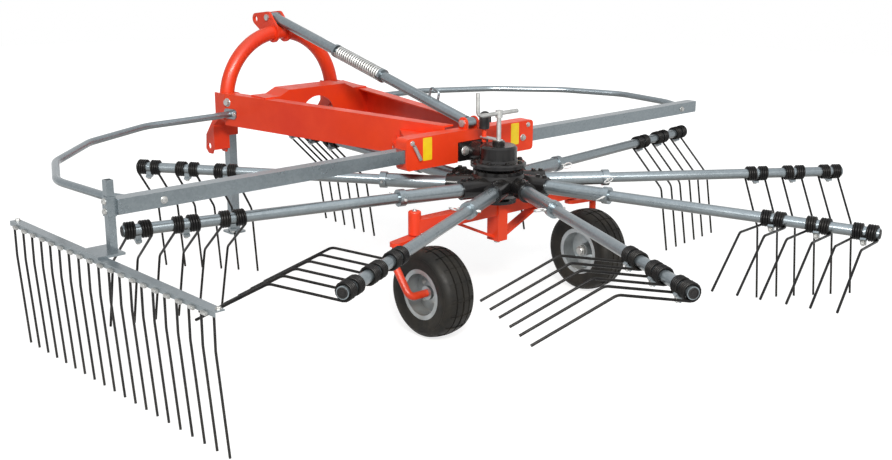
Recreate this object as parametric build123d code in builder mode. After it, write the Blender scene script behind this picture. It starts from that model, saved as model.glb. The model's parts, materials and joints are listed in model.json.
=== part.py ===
from build123d import *
import math
import os

os.makedirs("parts", exist_ok=True)

# Mounted hay rake with one horizontal rotor, standing on its two castor wheels and its parking stand.
# All sizes are in millimetres. +X is the right-hand side, +Y the driving direction, +Z up from the ground.
# Every place below is told from the rotor's axis, which stands at (ROTOR_X, ROTOR_Y) in the part's frame.

# Rotor
ROTOR_R = 1450            # rotor axis to the end of a tine arm
ARM_COUNT = 9
ARM_FIRST = 86.3          # bearing of the arm under the beams, in degrees from +X
ARM_STEP = 360 / ARM_COUNT
ARM_SET = 45              # an arm's axis passes the rotor axis at this distance
ARM_Z = 490
ARM_D = 40
ARM_WALL = 4
STUB_D = 54
STUB_START = 140
STUB_END = 454
SOCKET_END = 192
SOCKET_D = 74
HUB_R = 106
HUB_TOP = 546
HUB_BOTTOM = 446
COLUMN_R = 45
RUNNING = 0.05            # radial play of a shaft in its bearing

# Tines: three double tines on each arm
PAIRS = 3
PAIR_PITCH = 160
LEG_GAP = 84              # between the two legs of a double tine
COIL_D = 62
COIL_L = 34
COIL_IN = 2               # the last coil's outer end lies this far inside the arm's end
WIRE_D = 9
LEG_UPPER = 236
LEG_LOWER = 284
UPPER_SLANT = 44.5        # degrees off plumb, both trailing
LOWER_SLANT = 9
TINE_BEND = 40
# how far the cam has turned each arm, in degrees, from the arm under the beams and anticlockwise
ARM_ROLL = [0, 0, 12, 51, 56, 52, 0, 0, 0]

# Wheels
TYRE_R = 166.5
TYRE_W = 140
RIM_R = 82
FLANGE_R = 102
WHEEL_X = 425
TRAIL = 101
AXLE_R = 14
CASTOR_Z = 342            # underside of the castor's arm, just above the tyre
CASTOR_T = 15
CASTOR_GAP = 5
BAR_X = 110               # the leg's upright stands this far outside the wheel's middle
BAR_D = 28

# Axle beam
BEAM_S = 50
SLEEVE_D = 48
SLEEVE_TOP = 450
POST_BOTTOM = 264

# A-frame of two channels
FRAME_Y = 1434            # front end, and the arch's plane
FRAME_TOP = 695
FRAME_H = 140
FRAME_HALF = 336          # outer faces at the front end
FRAME_HALF_REAR = 100     # outer faces at the cross head
CHANNEL_W = 52
CHANNEL_T = 6

# Cross head and cross tubes
HEAD_Y = 145              # rear face
HEAD_DEPTH = 60
HEAD_HALF = 340
HEAD_BOTTOM = 557
HEAD_TOP = 680
HEAD_T = 5
TUBE_S = 50
TUBE_WALL = 4
TUBE_Z = 614
TUBE_LEFT = -1496
TUBE_RIGHT = 1453
TUBE_IN = 300             # inner ends of both tubes

# Gearbox
INPUT_Z = 594
NECK_R = 40
NECK_END = 262
COVER_R = 108
DRUM_R = 72
INPUT_R = 17.4
JOURNAL_R = 20
INPUT_END = 345

# Headstock
ARCH_D = 64
ARCH_HALF = 288
ARCH_FOOT = 585
HITCH_T = 8
BRACKET_BACK = 42         # the brackets reach this far behind the arch's plane
HITCH_Y = 1532            # lower link pins
HITCH_Z = 440
HITCH_BORE = 14.2
CHEEK_TOP = FRAME_TOP - 3
CHEEK_BOTTOM = ARCH_FOOT - HITCH_T
WEB_Y = 1490              # rear face of the brackets' webs
TOP_Y = 1562              # top link pin
TOP_Z = 990
TOP_BORE = 12.85
TOP_GAP = 52

# Sprung strut
STRUT_Y = 1468
STRUT_Z = 1004
ARCH_CROWN = STRUT_Z - 64             # the strut's upper pin lies over the crown of the arch
ARCH_SPRING = ARCH_CROWN - ARCH_HALF  # height where the legs turn into the half circle
HEEL_Y = 168
HEEL_Z = 703
PIN_R = 10
STRUT_D = 42
STRUT_TOP_D = 44
ROD_D = 32
SPRING_D = 58
SPRING_START = 551
SPRING_END = 849

# Guard bows
BOW_D = 28
BOW_Z = 610
BOW_OUT = 1474            # the bows' widest point
BOW_BENDS = [(752, 1322), (1085, 1157), (1345, 905), (BOW_OUT + 3, 622), (BOW_OUT - 16, 330)]
BOW_SEAT = TUBE_RIGHT - 108           # the bolt in each cross tube

# Parking stand
STAND_S = 40
SLEEVE_S = STAND_S + 2 * 6
CHEEK_X = -(ARCH_HALF - ARCH_D / 2 - HITCH_T)    # inner face of the left bracket's inner cheek
STAND_X = CHEEK_X + 63
STAND_Y = 1582            # ahead of the lower link pins, which are pushed in from either side
STAND_TOP = 730
STAND_FOOT = 80
SLIDE = 0.2               # play of a square tube in its sleeve

# Swath curtain
BAR_LEFT = -1600          # outer face of the curtain's bar
BAR_Z = 470
BAR_FRONT = 735
BAR_REAR = -535
BAR_LEG = 34
BAR_LIP = 16
BAR_T = 4
POST_S = 25
POST_WALL = 3
POST_TOP = 700
COLLAR_TOP = 648
COLLAR_BOTTOM = 584
CURTAIN_TINES = 20
CURTAIN_WIRE = 8
CURTAIN_TIP = 46
CURTAIN_BEND = 350

# Double tine seen along its arm: where a leg leaves the coil, its bend and its tip
ARM_END = math.sqrt(ROTOR_R**2 - ARM_SET**2)
COIL_R = COIL_D / 2 - WIRE_D / 2 - 0.6
COIL_MIDDLE = LEG_GAP / 2 + WIRE_D / 2 - COIL_L / 2
upper = math.radians(UPPER_SLANT)
lower = math.radians(LOWER_SLANT)
leg_start = (COIL_R * math.cos(upper), -COIL_R * math.sin(upper))
leg_bend = (leg_start[0] - LEG_UPPER * math.sin(upper), leg_start[1] - LEG_UPPER * math.cos(upper))
leg_tip = (leg_bend[0] - LEG_LOWER * math.sin(lower), leg_bend[1] - LEG_LOWER * math.cos(lower))
lift = math.radians(max(ARM_ROLL))
tip_lead = leg_tip[0] * math.cos(lift) + leg_tip[1] * math.sin(lift) + ARM_SET
TINE_SWEEP = math.hypot(ARM_END - COIL_IN, tip_lead)

# Place of the rotor axis, so that the part's origin lies under the middle of the whole machine
LEFT_END = BAR_LEFT
RIGHT_END = BOW_OUT + BOW_D / 2
FRONT_END = STAND_Y + STAND_FOOT / 2
REAR_END = -TINE_SWEEP
ROTOR_X = -(LEFT_END + RIGHT_END) / 2
ROTOR_Y = -(FRONT_END + REAR_END) / 2


def level(z):
    """Plane parallel to the ground, centred on the rotor axis."""
    return Plane(origin=(ROTOR_X, ROTOR_Y, z))


def across(y):
    """Upright plane across the machine, seen from behind: local x to the right, local y up."""
    return Plane(origin=(ROTOR_X, ROTOR_Y + y, 0), x_dir=(1, 0, 0), z_dir=(0, -1, 0))


def along(x):
    """Upright plane along the machine: local x forward, local y up, facing the right-hand side."""
    return Plane(origin=(ROTOR_X + x, ROTOR_Y, 0), x_dir=(0, 1, 0), z_dir=(1, 0, 0))


def arm_plane(index, reach, roll=0.0):
    """Plane square to an arm at a distance from the rotor axis: local x leads, local y is up."""
    bearing = math.radians(ARM_FIRST + index * ARM_STEP)
    out = Vector(math.cos(bearing), math.sin(bearing), 0)
    lead = Vector(-math.sin(bearing), math.cos(bearing), 0)
    middle = Vector(ROTOR_X, ROTOR_Y, ARM_Z) + out * reach + lead * ARM_SET
    turn = math.radians(roll)
    return Plane(origin=middle, x_dir=lead * math.cos(turn) - Vector(0, 0, math.sin(turn)), z_dir=out)


# Headstock: bent tube, its two hitch brackets and the bracket for the top link
def arch_sweep(outer, inner, how):
    """Adds or cuts the bent tube of the headstock."""
    with BuildLine(across(FRAME_Y)) as path:
        left = Line((-ARCH_HALF, ARCH_FOOT), (-ARCH_HALF, ARCH_SPRING))
        over = RadiusArc(left @ 1, (ARCH_HALF, ARCH_SPRING), ARCH_HALF)
        Line(over @ 1, (ARCH_HALF, ARCH_FOOT))
    with BuildSketch(Plane(origin=path.line @ 0, z_dir=path.line % 0)) as ring:
        Circle(outer)
        if inner:
            Circle(inner, mode=Mode.SUBTRACT)
    sweep(sections=ring.sketch, path=path.line, mode=how)


with BuildPart() as headstock_arch:
    arch_sweep(ARCH_D / 2, ARCH_D / 2 - 5, Mode.ADD)
headstock_arch.part.label = "headstock_arch"
export_step(headstock_arch.part, "parts/headstock_arch.step")


def hitch_bracket(side):
    """U-shaped bracket round one leg of the arch, with the bore for a lower link pin."""
    with BuildPart() as bracket:
        with BuildSketch(along(side * ARCH_HALF)):
            with BuildLine():
                Polyline(
                    (FRAME_Y - BRACKET_BACK, CHEEK_BOTTOM + 29), (FRAME_Y - BRACKET_BACK, CHEEK_TOP),
                    (FRAME_Y + 34, CHEEK_TOP), (FRAME_Y + 34, CHEEK_BOTTOM + 23), (HITCH_Y + 22, HITCH_Z + 50),
                    (HITCH_Y + 28, HITCH_Z - 16), (HITCH_Y + 8, HITCH_Z - 34), (WEB_Y + 22, HITCH_Z - 34),
                    (WEB_Y + 14, HITCH_Z - 14), (WEB_Y, HITCH_Z - 14), (WEB_Y, CHEEK_BOTTOM - 37),
                    (FRAME_Y + 10, CHEEK_BOTTOM), (FRAME_Y - 30, CHEEK_BOTTOM), close=True,
                )
            make_face()
            with Locations((HITCH_Y, HITCH_Z)):
                Circle(HITCH_BORE, mode=Mode.SUBTRACT)
        extrude(amount=ARCH_D / 2 + HITCH_T, both=True)
        # between the cheeks only the folded web stays, with the floor that the arch's leg stands on
        with BuildSketch(along(side * ARCH_HALF)):
            with BuildLine():
                Polyline(
                    (WEB_Y + HITCH_T, HITCH_Z - 100), (WEB_Y + HITCH_T, CHEEK_BOTTOM - 32),
                    (FRAME_Y + 16, ARCH_FOOT), (FRAME_Y - 200, ARCH_FOOT), (FRAME_Y - 200, CHEEK_TOP + 50),
                    (HITCH_Y + 200, CHEEK_TOP + 50), (HITCH_Y + 200, HITCH_Z - 100), close=True,
                )
            make_face()
        extrude(amount=ARCH_D / 2, both=True, mode=Mode.SUBTRACT)
        arch_sweep(ARCH_D / 2, 0, Mode.SUBTRACT)
    return bracket


lower_hitch_left = hitch_bracket(-1)
lower_hitch_left.part.label = "lower_hitch_left"
export_step(lower_hitch_left.part, "parts/lower_hitch_left.step")

lower_hitch_right = hitch_bracket(1)
lower_hitch_right.part.label = "lower_hitch_right"
export_step(lower_hitch_right.part, "parts/lower_hitch_right.step")

with BuildPart() as top_link_bracket:
    with BuildSketch(along(0)):
        with Locations((FRAME_Y, ARCH_CROWN)):
            Circle(46)
        with Locations((STRUT_Y, STRUT_Z), (TOP_Y, TOP_Z)):
            Circle(26)
        make_hull()
        with Locations((STRUT_Y, STRUT_Z)):
            Circle(PIN_R, mode=Mode.SUBTRACT)
        with Locations((TOP_Y, TOP_Z)):
            Circle(TOP_BORE, mode=Mode.SUBTRACT)
    extrude(amount=TOP_GAP / 2 + 10, both=True)
    heights = (ARCH_CROWN, STRUT_Z, TOP_Z)
    with BuildSketch(along(0)):
        with Locations((FRAME_Y - 60, min(heights) - 60)):
            Rectangle(TOP_Y - FRAME_Y + 120, max(heights) - min(heights) + 120, align=(Align.MIN, Align.MIN))
    extrude(amount=TOP_GAP / 2, both=True, mode=Mode.SUBTRACT)
    arch_sweep(ARCH_D / 2, 0, Mode.SUBTRACT)
top_link_bracket.part.label = "top_link_bracket"
export_step(top_link_bracket.part, "parts/top_link_bracket.step")

# A-frame: two channels with their flanges inwards, running from the headstock to the cross head
FRAME_REAR = HEAD_Y + HEAD_DEPTH
FRAME_FRONT = FRAME_Y - BRACKET_BACK
FRAME_BOTTOM = FRAME_TOP - FRAME_H
FRAME_LEAN = (FRAME_HALF - FRAME_HALF_REAR) / (FRAME_Y - FRAME_REAR)


def frame_half(y):
    """Distance of a channel's outer face from the machine's middle."""
    return FRAME_HALF_REAR + FRAME_LEAN * (y - FRAME_REAR)


def channel_plan(side, inset):
    """Corners of a channel seen from above, or of the hollow inside its web."""
    return [
        (side * (frame_half(FRAME_REAR) - inset), FRAME_REAR),
        (side * (frame_half(FRAME_FRONT) - inset), FRAME_FRONT),
        (side * (frame_half(FRAME_FRONT) - CHANNEL_W), FRAME_FRONT),
        (side * (frame_half(FRAME_REAR) - CHANNEL_W), FRAME_REAR),
    ]


def main_beam(side):
    with BuildPart() as beam:
        with BuildSketch(level(FRAME_BOTTOM)):
            with BuildLine():
                Polyline(*channel_plan(side, 0), close=True)
            make_face()
        extrude(amount=FRAME_H)
        with BuildSketch(level(FRAME_BOTTOM + CHANNEL_T)):
            with BuildLine():
                Polyline(*channel_plan(side, CHANNEL_T), close=True)
            make_face()
        extrude(amount=FRAME_H - 2 * CHANNEL_T, mode=Mode.SUBTRACT)
    return beam


main_beam_left = main_beam(-1)
main_beam_left.part.label = "main_beam_left"
export_step(main_beam_left.part, "parts/main_beam_left.step")

main_beam_right = main_beam(1)
main_beam_right.part.label = "main_beam_right"
export_step(main_beam_right.part, "parts/main_beam_right.step")

# Cross member: a folded plate over the two channels with a web below it, open for the drive shaft
MEMBER_Y = 1150
MEMBER_L = 110
MEMBER_T = 6
MEMBER_RISE = 24
member_half = frame_half(MEMBER_Y) - CHANNEL_T
member_mouth = frame_half(MEMBER_Y) - CHANNEL_W
with BuildPart() as beam_cross_member:
    with BuildSketch(across(MEMBER_Y)):
        with BuildLine():
            Polyline(
                (-member_half, FRAME_TOP), (-200, FRAME_TOP), (-150, FRAME_TOP + MEMBER_RISE),
                (150, FRAME_TOP + MEMBER_RISE), (200, FRAME_TOP), (member_half, FRAME_TOP),
                (member_half, FRAME_TOP + MEMBER_T), (200, FRAME_TOP + MEMBER_T),
                (150, FRAME_TOP + MEMBER_RISE + MEMBER_T), (-150, FRAME_TOP + MEMBER_RISE + MEMBER_T),
                (-200, FRAME_TOP + MEMBER_T), (-member_half, FRAME_TOP + MEMBER_T), close=True,
            )
        make_face()
    extrude(amount=-MEMBER_L)
    with BuildSketch(across(MEMBER_Y)):
        with BuildLine():
            Polyline(
                (-member_half, FRAME_BOTTOM + CHANNEL_T), (-member_half, FRAME_TOP - CHANNEL_T),
                (-member_mouth, FRAME_TOP - CHANNEL_T), (-member_mouth, FRAME_TOP), (-200, FRAME_TOP),
                (-150, FRAME_TOP + MEMBER_RISE), (150, FRAME_TOP + MEMBER_RISE), (200, FRAME_TOP),
                (member_mouth, FRAME_TOP), (member_mouth, FRAME_TOP - CHANNEL_T),
                (member_half, FRAME_TOP - CHANNEL_T), (member_half, FRAME_BOTTOM + CHANNEL_T), close=True,
            )
        make_face()
        with Locations((0, INPUT_Z)):
            Circle(90, mode=Mode.SUBTRACT)
        with Locations((0, FRAME_BOTTOM)):
            Rectangle(180, 2 * (INPUT_Z - FRAME_BOTTOM), mode=Mode.SUBTRACT)
    extrude(amount=-MEMBER_T)
beam_cross_member.part.label = "beam_cross_member"
export_step(beam_cross_member.part, "parts/beam_cross_member.step")

# Cross head: a flat box across the rear of the A-frame, which holds the gearbox and both cross tubes
NOTCH_HALF = 78
NOTCH_TOP = 636
LUG_T = 8
EYE_R = 20
HEEL_GAP = 48
with BuildPart() as cross_head:
    with BuildSketch(across(HEAD_Y)) as outline:
        with Locations((0, HEAD_BOTTOM)):
            Rectangle(2 * HEAD_HALF, HEAD_TOP - HEAD_BOTTOM, align=(Align.CENTER, Align.MIN))
        fillet(outline.vertices().group_by(Axis.Z)[-1], 16)
        with Locations((0, HEAD_BOTTOM)):
            Rectangle(2 * NOTCH_HALF, NOTCH_TOP - HEAD_BOTTOM,
                      align=(Align.CENTER, Align.MIN), mode=Mode.SUBTRACT)
    extrude(amount=-HEAD_DEPTH)
    with BuildSketch(across(HEAD_Y + HEAD_T)):
        with Locations((0, HEAD_BOTTOM + HEAD_T)):
            Rectangle(2 * (HEAD_HALF - HEAD_T), HEAD_TOP - HEAD_BOTTOM - 2 * HEAD_T,
                      align=(Align.CENTER, Align.MIN))
    extrude(amount=-(HEAD_DEPTH - 2 * HEAD_T), mode=Mode.SUBTRACT)
    with BuildSketch(along(0)):
        with Locations((HEAD_Y + HEAD_DEPTH / 2, TUBE_Z)):
            Rectangle(TUBE_S, TUBE_S)
    extrude(amount=HEAD_HALF + 1, both=True, mode=Mode.SUBTRACT)
    for side in (-1, 1):
        with BuildSketch(along(side * HEEL_GAP / 2)):
            with Locations((HEEL_Y, HEEL_Z)):
                Circle(EYE_R + 4)
            with Locations((HEEL_Y, HEAD_TOP)):
                Rectangle(2 * (EYE_R + 4), HEEL_Z - HEAD_TOP, align=(Align.CENTER, Align.MIN))
            with Locations((HEEL_Y, HEAD_TOP)):
                Rectangle(90, 90, align=(Align.CENTER, Align.MAX), mode=Mode.SUBTRACT)
            with Locations((HEEL_Y, HEEL_Z)):
                Circle(PIN_R, mode=Mode.SUBTRACT)
        extrude(amount=side * LUG_T)
cross_head.part.label = "cross_head"
export_step(cross_head.part, "parts/cross_head.step")

# Gussets between the channels and the ends of the cross head, pressed in three steps
GUSSET_RUN = 250
GUSSET_STEPS = 3
GUSSET_BOTTOM = 572
GUSSET_TOP = 656
with BuildPart() as head_gussets:
    for side in (-1, 1):
        for step in range(GUSSET_STEPS):
            rise = (GUSSET_TOP - GUSSET_BOTTOM) / GUSSET_STEPS
            reach = HEAD_HALF - 12 - 14 * step
            run = GUSSET_RUN - 18 * step
            with BuildSketch(level(GUSSET_BOTTOM + rise * step)):
                with BuildLine():
                    Polyline(
                        (side * frame_half(FRAME_REAR), FRAME_REAR),
                        (side * frame_half(FRAME_REAR + run), FRAME_REAR + run),
                        (side * (reach - 40), FRAME_REAR + 40), (side * reach, FRAME_REAR), close=True,
                    )
                make_face()
            extrude(amount=rise)
        # folded from plate, so open from below
        with BuildSketch(level(GUSSET_BOTTOM)):
            with BuildLine():
                Polyline(
                    (side * (frame_half(FRAME_REAR) + 8), FRAME_REAR + 6),
                    (side * (frame_half(FRAME_REAR + run) + 8), FRAME_REAR + run - 30),
                    (side * (reach - 50), FRAME_REAR + 34), (side * (reach - 14), FRAME_REAR + 6), close=True,
                )
            make_face()
        extrude(amount=GUSSET_TOP - GUSSET_BOTTOM - 6, mode=Mode.SUBTRACT)
head_gussets.part.label = "head_gussets"
export_step(head_gussets.part, "parts/head_gussets.step")


# Cross tubes: square tubes held in the cross head
def cross_tube(inner_end, outer_end):
    with BuildPart() as tube:
        with BuildSketch(along(inner_end)):
            with Locations((HEAD_Y + HEAD_DEPTH / 2, TUBE_Z)):
                Rectangle(TUBE_S, TUBE_S)
                Rectangle(TUBE_S - 2 * TUBE_WALL, TUBE_S - 2 * TUBE_WALL, mode=Mode.SUBTRACT)
        extrude(amount=outer_end - inner_end)
    return tube


cross_tube_left = cross_tube(-TUBE_IN, TUBE_LEFT)
cross_tube_left.part.label = "cross_tube_left"
export_step(cross_tube_left.part, "parts/cross_tube_left.step")

cross_tube_right = cross_tube(TUBE_IN, TUBE_RIGHT)
cross_tube_right.part.label = "cross_tube_right"
export_step(cross_tube_right.part, "parts/cross_tube_right.step")

# Lever that locks the left cross tube, lying on the cross head's rear face
LEVER_D = 14
with BuildPart() as tube_lock:
    with BuildLine(across(HEAD_Y - LEVER_D / 2)) as lever:
        Line((34 - HEAD_HALF, HEAD_TOP - 28), (66 - HEAD_HALF, HEAD_TOP - 84))
    with BuildSketch(Plane(origin=lever.line @ 0, z_dir=lever.line % 0)):
        Circle(LEVER_D / 2)
    sweep(path=lever.line)
tube_lock.part.label = "tube_lock"
export_step(tube_lock.part, "parts/tube_lock.step")


# Guard bows: bent round tubes from the channels to the cross tubes
def guard_bow(side):
    foot_y = 1354
    slope = math.hypot(1, FRAME_LEAN)
    away = Vector(side / slope, -FRAME_LEAN / slope, 0)
    seat = Vector(side * frame_half(foot_y), foot_y, BOW_Z)
    start = seat + away * 3
    knee = seat + away * 95
    tube_face = HEAD_Y + HEAD_DEPTH / 2 + TUBE_S / 2
    rear_y = tube_face + BOW_D / 2
    with BuildPart() as bow:
        with BuildLine(level(0)) as path:
            FilletPolyline(
                tuple(start), tuple(knee), *[(side * x, y, BOW_Z) for x, y in BOW_BENDS],
                (side * (BOW_SEAT + 65), rear_y, BOW_Z), (side * (BOW_SEAT - 25), rear_y, BOW_Z),
                radius=[200, 200, 200, 200, 200, 150, 60],
            )
        with BuildSketch(Plane(origin=path.line @ 0, z_dir=path.line % 0)):
            Circle(BOW_D / 2)
        sweep(path=path.line)
        # flattened end, bolted to the channel's outer face
        face_plane = Plane(origin=Vector(ROTOR_X, ROTOR_Y, 0) + seat, x_dir=(0, 0, 1), z_dir=away)
        with BuildSketch(face_plane):
            RectangleRounded(44, 70, 14)
        extrude(amount=7)
        # and the other one, bolted to the cross tube
        with BuildSketch(across(tube_face)):
            with Locations((side * BOW_SEAT, BOW_Z)):
                RectangleRounded(76, 36, 14)
        extrude(amount=-9)
    return bow


guard_bow_left = guard_bow(-1)
guard_bow_left.part.label = "guard_bow_left"
export_step(guard_bow_left.part, "parts/guard_bow_left.step")

guard_bow_right = guard_bow(1)
guard_bow_right.part.label = "guard_bow_right"
export_step(guard_bow_right.part, "parts/guard_bow_right.step")

# Sprung strut between the headstock's top and the cross head
strut_run = math.hypot(STRUT_Y - HEEL_Y, STRUT_Z - HEEL_Z)
strut_way = Vector(0, (STRUT_Y - HEEL_Y) / strut_run, (STRUT_Z - HEEL_Z) / strut_run)


def strut_plane(distance):
    """Plane square to the strut at a distance from its lower pin."""
    heel = Vector(ROTOR_X, ROTOR_Y + HEEL_Y, HEEL_Z)
    return Plane(origin=heel + strut_way * distance, x_dir=(1, 0, 0), z_dir=strut_way)


with BuildPart() as strut_tube:
    with BuildSketch(strut_plane(EYE_R - 6)):
        Circle(STRUT_D / 2)
    extrude(amount=SPRING_START - EYE_R + 6)
    with BuildSketch(strut_plane(SPRING_START - 16)):
        Circle(SPRING_D / 2)
    extrude(amount=16)
    with BuildSketch(along(0)):
        with Locations((HEEL_Y, HEEL_Z)):
            Circle(EYE_R)
    extrude(amount=HEEL_GAP / 2, both=True)
    with BuildSketch(along(0)):
        with Locations((HEEL_Y, HEEL_Z)):
            Circle(PIN_R)
    extrude(amount=HEEL_GAP, both=True, mode=Mode.SUBTRACT)
    with BuildSketch(strut_plane(SPRING_START)):
        Circle(ROD_D / 2)
    extrude(amount=-120, mode=Mode.SUBTRACT)
    # ring on top of the tube
    ring_plane = Plane(origin=strut_plane(217).origin, x_dir=strut_way, z_dir=(1, 0, 0))
    with BuildLine(ring_plane) as ring:
        FilletPolyline((-26, 12), (-26, 58), (26, 58), (26, 12), radius=14)
    with BuildSketch(Plane(origin=ring.line @ 0, z_dir=ring.line % 0)):
        Circle(5)
    sweep(path=ring.line)
strut_tube.part.label = "strut_tube"
export_step(strut_tube.part, "parts/strut_tube.step")

with BuildPart() as strut_rod:
    with BuildSketch(strut_plane(SPRING_START - 100)):
        Circle(ROD_D / 2)
    extrude(amount=strut_run - SPRING_START + 100 - EYE_R + 6)
    with BuildSketch(strut_plane(SPRING_END)):
        Circle(SPRING_D / 2)
    extrude(amount=14)
    with BuildSketch(strut_plane(SPRING_END)):
        Circle(STRUT_TOP_D / 2)
    extrude(amount=strut_run - SPRING_END - EYE_R + 6)
    with BuildSketch(along(0)):
        with Locations((STRUT_Y, STRUT_Z)):
            Circle(EYE_R)
    extrude(amount=TOP_GAP / 2, both=True)
    with BuildSketch(along(0)):
        with Locations((STRUT_Y, STRUT_Z)):
            Circle(PIN_R)
    extrude(amount=TOP_GAP, both=True, mode=Mode.SUBTRACT)
strut_rod.part.label = "strut_rod"
export_step(strut_rod.part, "parts/strut_rod.step")

with BuildPart() as strut_spring:
    with BuildSketch(strut_plane(SPRING_START)):
        Circle(SPRING_D / 2)
        Circle(ROD_D / 2, mode=Mode.SUBTRACT)
    extrude(amount=SPRING_END - SPRING_START)
strut_spring.part.label = "strut_spring"
export_step(strut_spring.part, "parts/strut_spring.step")

with BuildPart() as strut_pins:
    for pin_y, pin_z, half in ((HEEL_Y, HEEL_Z, HEEL_GAP / 2 + LUG_T), (STRUT_Y, STRUT_Z, TOP_GAP / 2 + 10)):
        with BuildSketch(along(0)):
            with Locations((pin_y, pin_z)):
                Circle(PIN_R)
        extrude(amount=half, both=True)
        for side in (-1, 1):
            with BuildSketch(along(side * half)):
                with Locations((pin_y, pin_z)):
                    RegularPolygon(15, 6)
            extrude(amount=side * 9)
strut_pins.part.label = "strut_pins"
export_step(strut_pins.part, "parts/strut_pins.step")

# Gearbox: round housing over the rotor with an input neck that looks forward through the cross head
BOX_BOTTOM = HUB_TOP + 6
BOX_TOP = 655
STEM_Y = 80
STEM_SEAT = 640
with BuildPart() as gearbox:
    with BuildSketch(across(0)):
        with BuildLine():
            Polyline(
                (0, BOX_BOTTOM), (COVER_R - 12, BOX_BOTTOM), (COVER_R, BOX_BOTTOM + 8),
                (COVER_R, BOX_BOTTOM + 20), (COVER_R - 8, BOX_BOTTOM + 26), (DRUM_R + 8, BOX_BOTTOM + 28),
                (DRUM_R, BOX_BOTTOM + 36), (DRUM_R, BOX_TOP - 23), (DRUM_R - 8, BOX_TOP - 15),
                (24, BOX_TOP - 15), (24, BOX_TOP), (0, BOX_TOP), close=True,
            )
        make_face()
    revolve(axis=Axis((ROTOR_X, ROTOR_Y, 0), (0, 0, 1)))
    with BuildSketch(across(0)):
        with Locations((0, INPUT_Z)):
            Circle(NECK_R)
    extrude(amount=-NECK_END)
    with BuildSketch(across(HEAD_Y - 8)):
        with Locations((0, INPUT_Z + 4)):
            Rectangle(2 * NOTCH_HALF, 72)
    extrude(amount=-(HEAD_DEPTH + 8))
    with BuildSketch(across(NECK_END)):
        with Locations((0, INPUT_Z)):
            Circle(NECK_R + 8)
    extrude(amount=16)
    with BuildSketch(level(STEM_SEAT)):
        with Locations((0, STEM_Y)):
            Circle(14)
    extrude(amount=-(STEM_SEAT - INPUT_Z))
    with BuildSketch(across(NECK_END)):
        with Locations((0, INPUT_Z)):
            Circle(JOURNAL_R + RUNNING)
    extrude(amount=140, mode=Mode.SUBTRACT)
gearbox.part.label = "gearbox"
export_step(gearbox.part, "parts/gearbox.step")

# Input shaft for the tractor's drive
with BuildPart() as pto_shaft:
    # journal in the gearbox, relief groove, and the free end that the drive shaft's yoke slides on
    for end, radius, length in ((NECK_END + 2, JOURNAL_R, 138), (NECK_END + 6, INPUT_R - 1.4, 4),
                                (INPUT_END, INPUT_R, INPUT_END - NECK_END - 6)):
        with BuildSketch(across(end)):
            with Locations((0, INPUT_Z)):
                Circle(radius)
        extrude(amount=length)
    chamfer(pto_shaft.edges().group_by(Axis.Y)[-1], 3)
pto_shaft.part.label = "pto_shaft"
export_step(pto_shaft.part, "parts/pto_shaft.step")

with BuildPart() as adjuster_stem:
    with BuildSketch(level(STEM_SEAT)):
        with Locations((0, STEM_Y)):
            Circle(9)
    extrude(amount=52)
adjuster_stem.part.label = "adjuster_stem"
export_step(adjuster_stem.part, "parts/adjuster_stem.step")

with BuildPart() as adjuster_cap:
    with BuildSketch(level(STEM_SEAT + 52)):
        with Locations((0, STEM_Y)):
            Circle(20)
    extrude(amount=60)
    fillet(adjuster_cap.edges().group_by(Axis.Z)[-1], 14)
adjuster_cap.part.label = "adjuster_cap"
export_step(adjuster_cap.part, "parts/adjuster_cap.step")

CRANK_Z = 762
CRANK_D = 16
with BuildPart() as height_crank:
    with BuildSketch(level(BOX_TOP)):
        Circle(9)
    extrude(amount=CRANK_Z - BOX_TOP)
    with BuildSketch(level(CRANK_Z - 16)):
        Circle(14)
    extrude(amount=28)
    with BuildLine(across(0)) as bar:
        FilletPolyline((98, CRANK_Z), (-112, CRANK_Z), (-112, 850), radius=22)
    with BuildSketch(Plane(origin=bar.line @ 0, z_dir=bar.line % 0)):
        Circle(CRANK_D / 2)
    sweep(path=bar.line)
height_crank.part.label = "height_crank"
export_step(height_crank.part, "parts/height_crank.step")

# Axle: square tube under the rotor with a post, two braces and a sleeve for each castor
SLEEVE_BOTTOM = CASTOR_Z + CASTOR_T + CASTOR_GAP
BEAM_BOTTOM = SLEEVE_BOTTOM + 6
BEAM_TOP = BEAM_BOTTOM + BEAM_S
BRACE_X = 232
with BuildPart() as axle_beam:
    with BuildSketch(along(0)):
        with Locations((0, BEAM_BOTTOM)):
            Rectangle(BEAM_S, BEAM_S, align=(Align.CENTER, Align.MIN))
    extrude(amount=WHEEL_X, both=True)
    with BuildSketch(level(POST_BOTTOM)):
        Rectangle(BEAM_S, BEAM_S + 12)
    extrude(amount=BEAM_TOP - POST_BOTTOM)
    for side, thick, deep in ((-1, 12, 12), (1, 12, 40)):
        with BuildSketch(across(-deep / 2)):
            with BuildLine():
                Polyline(
                    (side * BEAM_S / 2, POST_BOTTOM + 10), (side * BRACE_X, BEAM_BOTTOM),
                    (side * (BRACE_X - 26), BEAM_BOTTOM), (side * BEAM_S / 2, POST_BOTTOM + 10 + thick),
                    close=True,
                )
            make_face()
        extrude(amount=-deep)
    with BuildSketch(level(SLEEVE_BOTTOM)):
        with Locations((-WHEEL_X, 0), (WHEEL_X, 0)):
            Circle(SLEEVE_D / 2)
    extrude(amount=SLEEVE_TOP - SLEEVE_BOTTOM)
    fillet(axle_beam.edges().group_by(Axis.Z)[-1], 6)
    with BuildSketch(level(SLEEVE_BOTTOM)):
        with Locations((-WHEEL_X, 0), (WHEEL_X, 0)):
            Circle(AXLE_R + RUNNING)
    extrude(amount=SLEEVE_TOP - SLEEVE_BOTTOM - 10, mode=Mode.SUBTRACT)
axle_beam.part.label = "axle_beam"
export_step(axle_beam.part, "parts/axle_beam.step")

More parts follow.
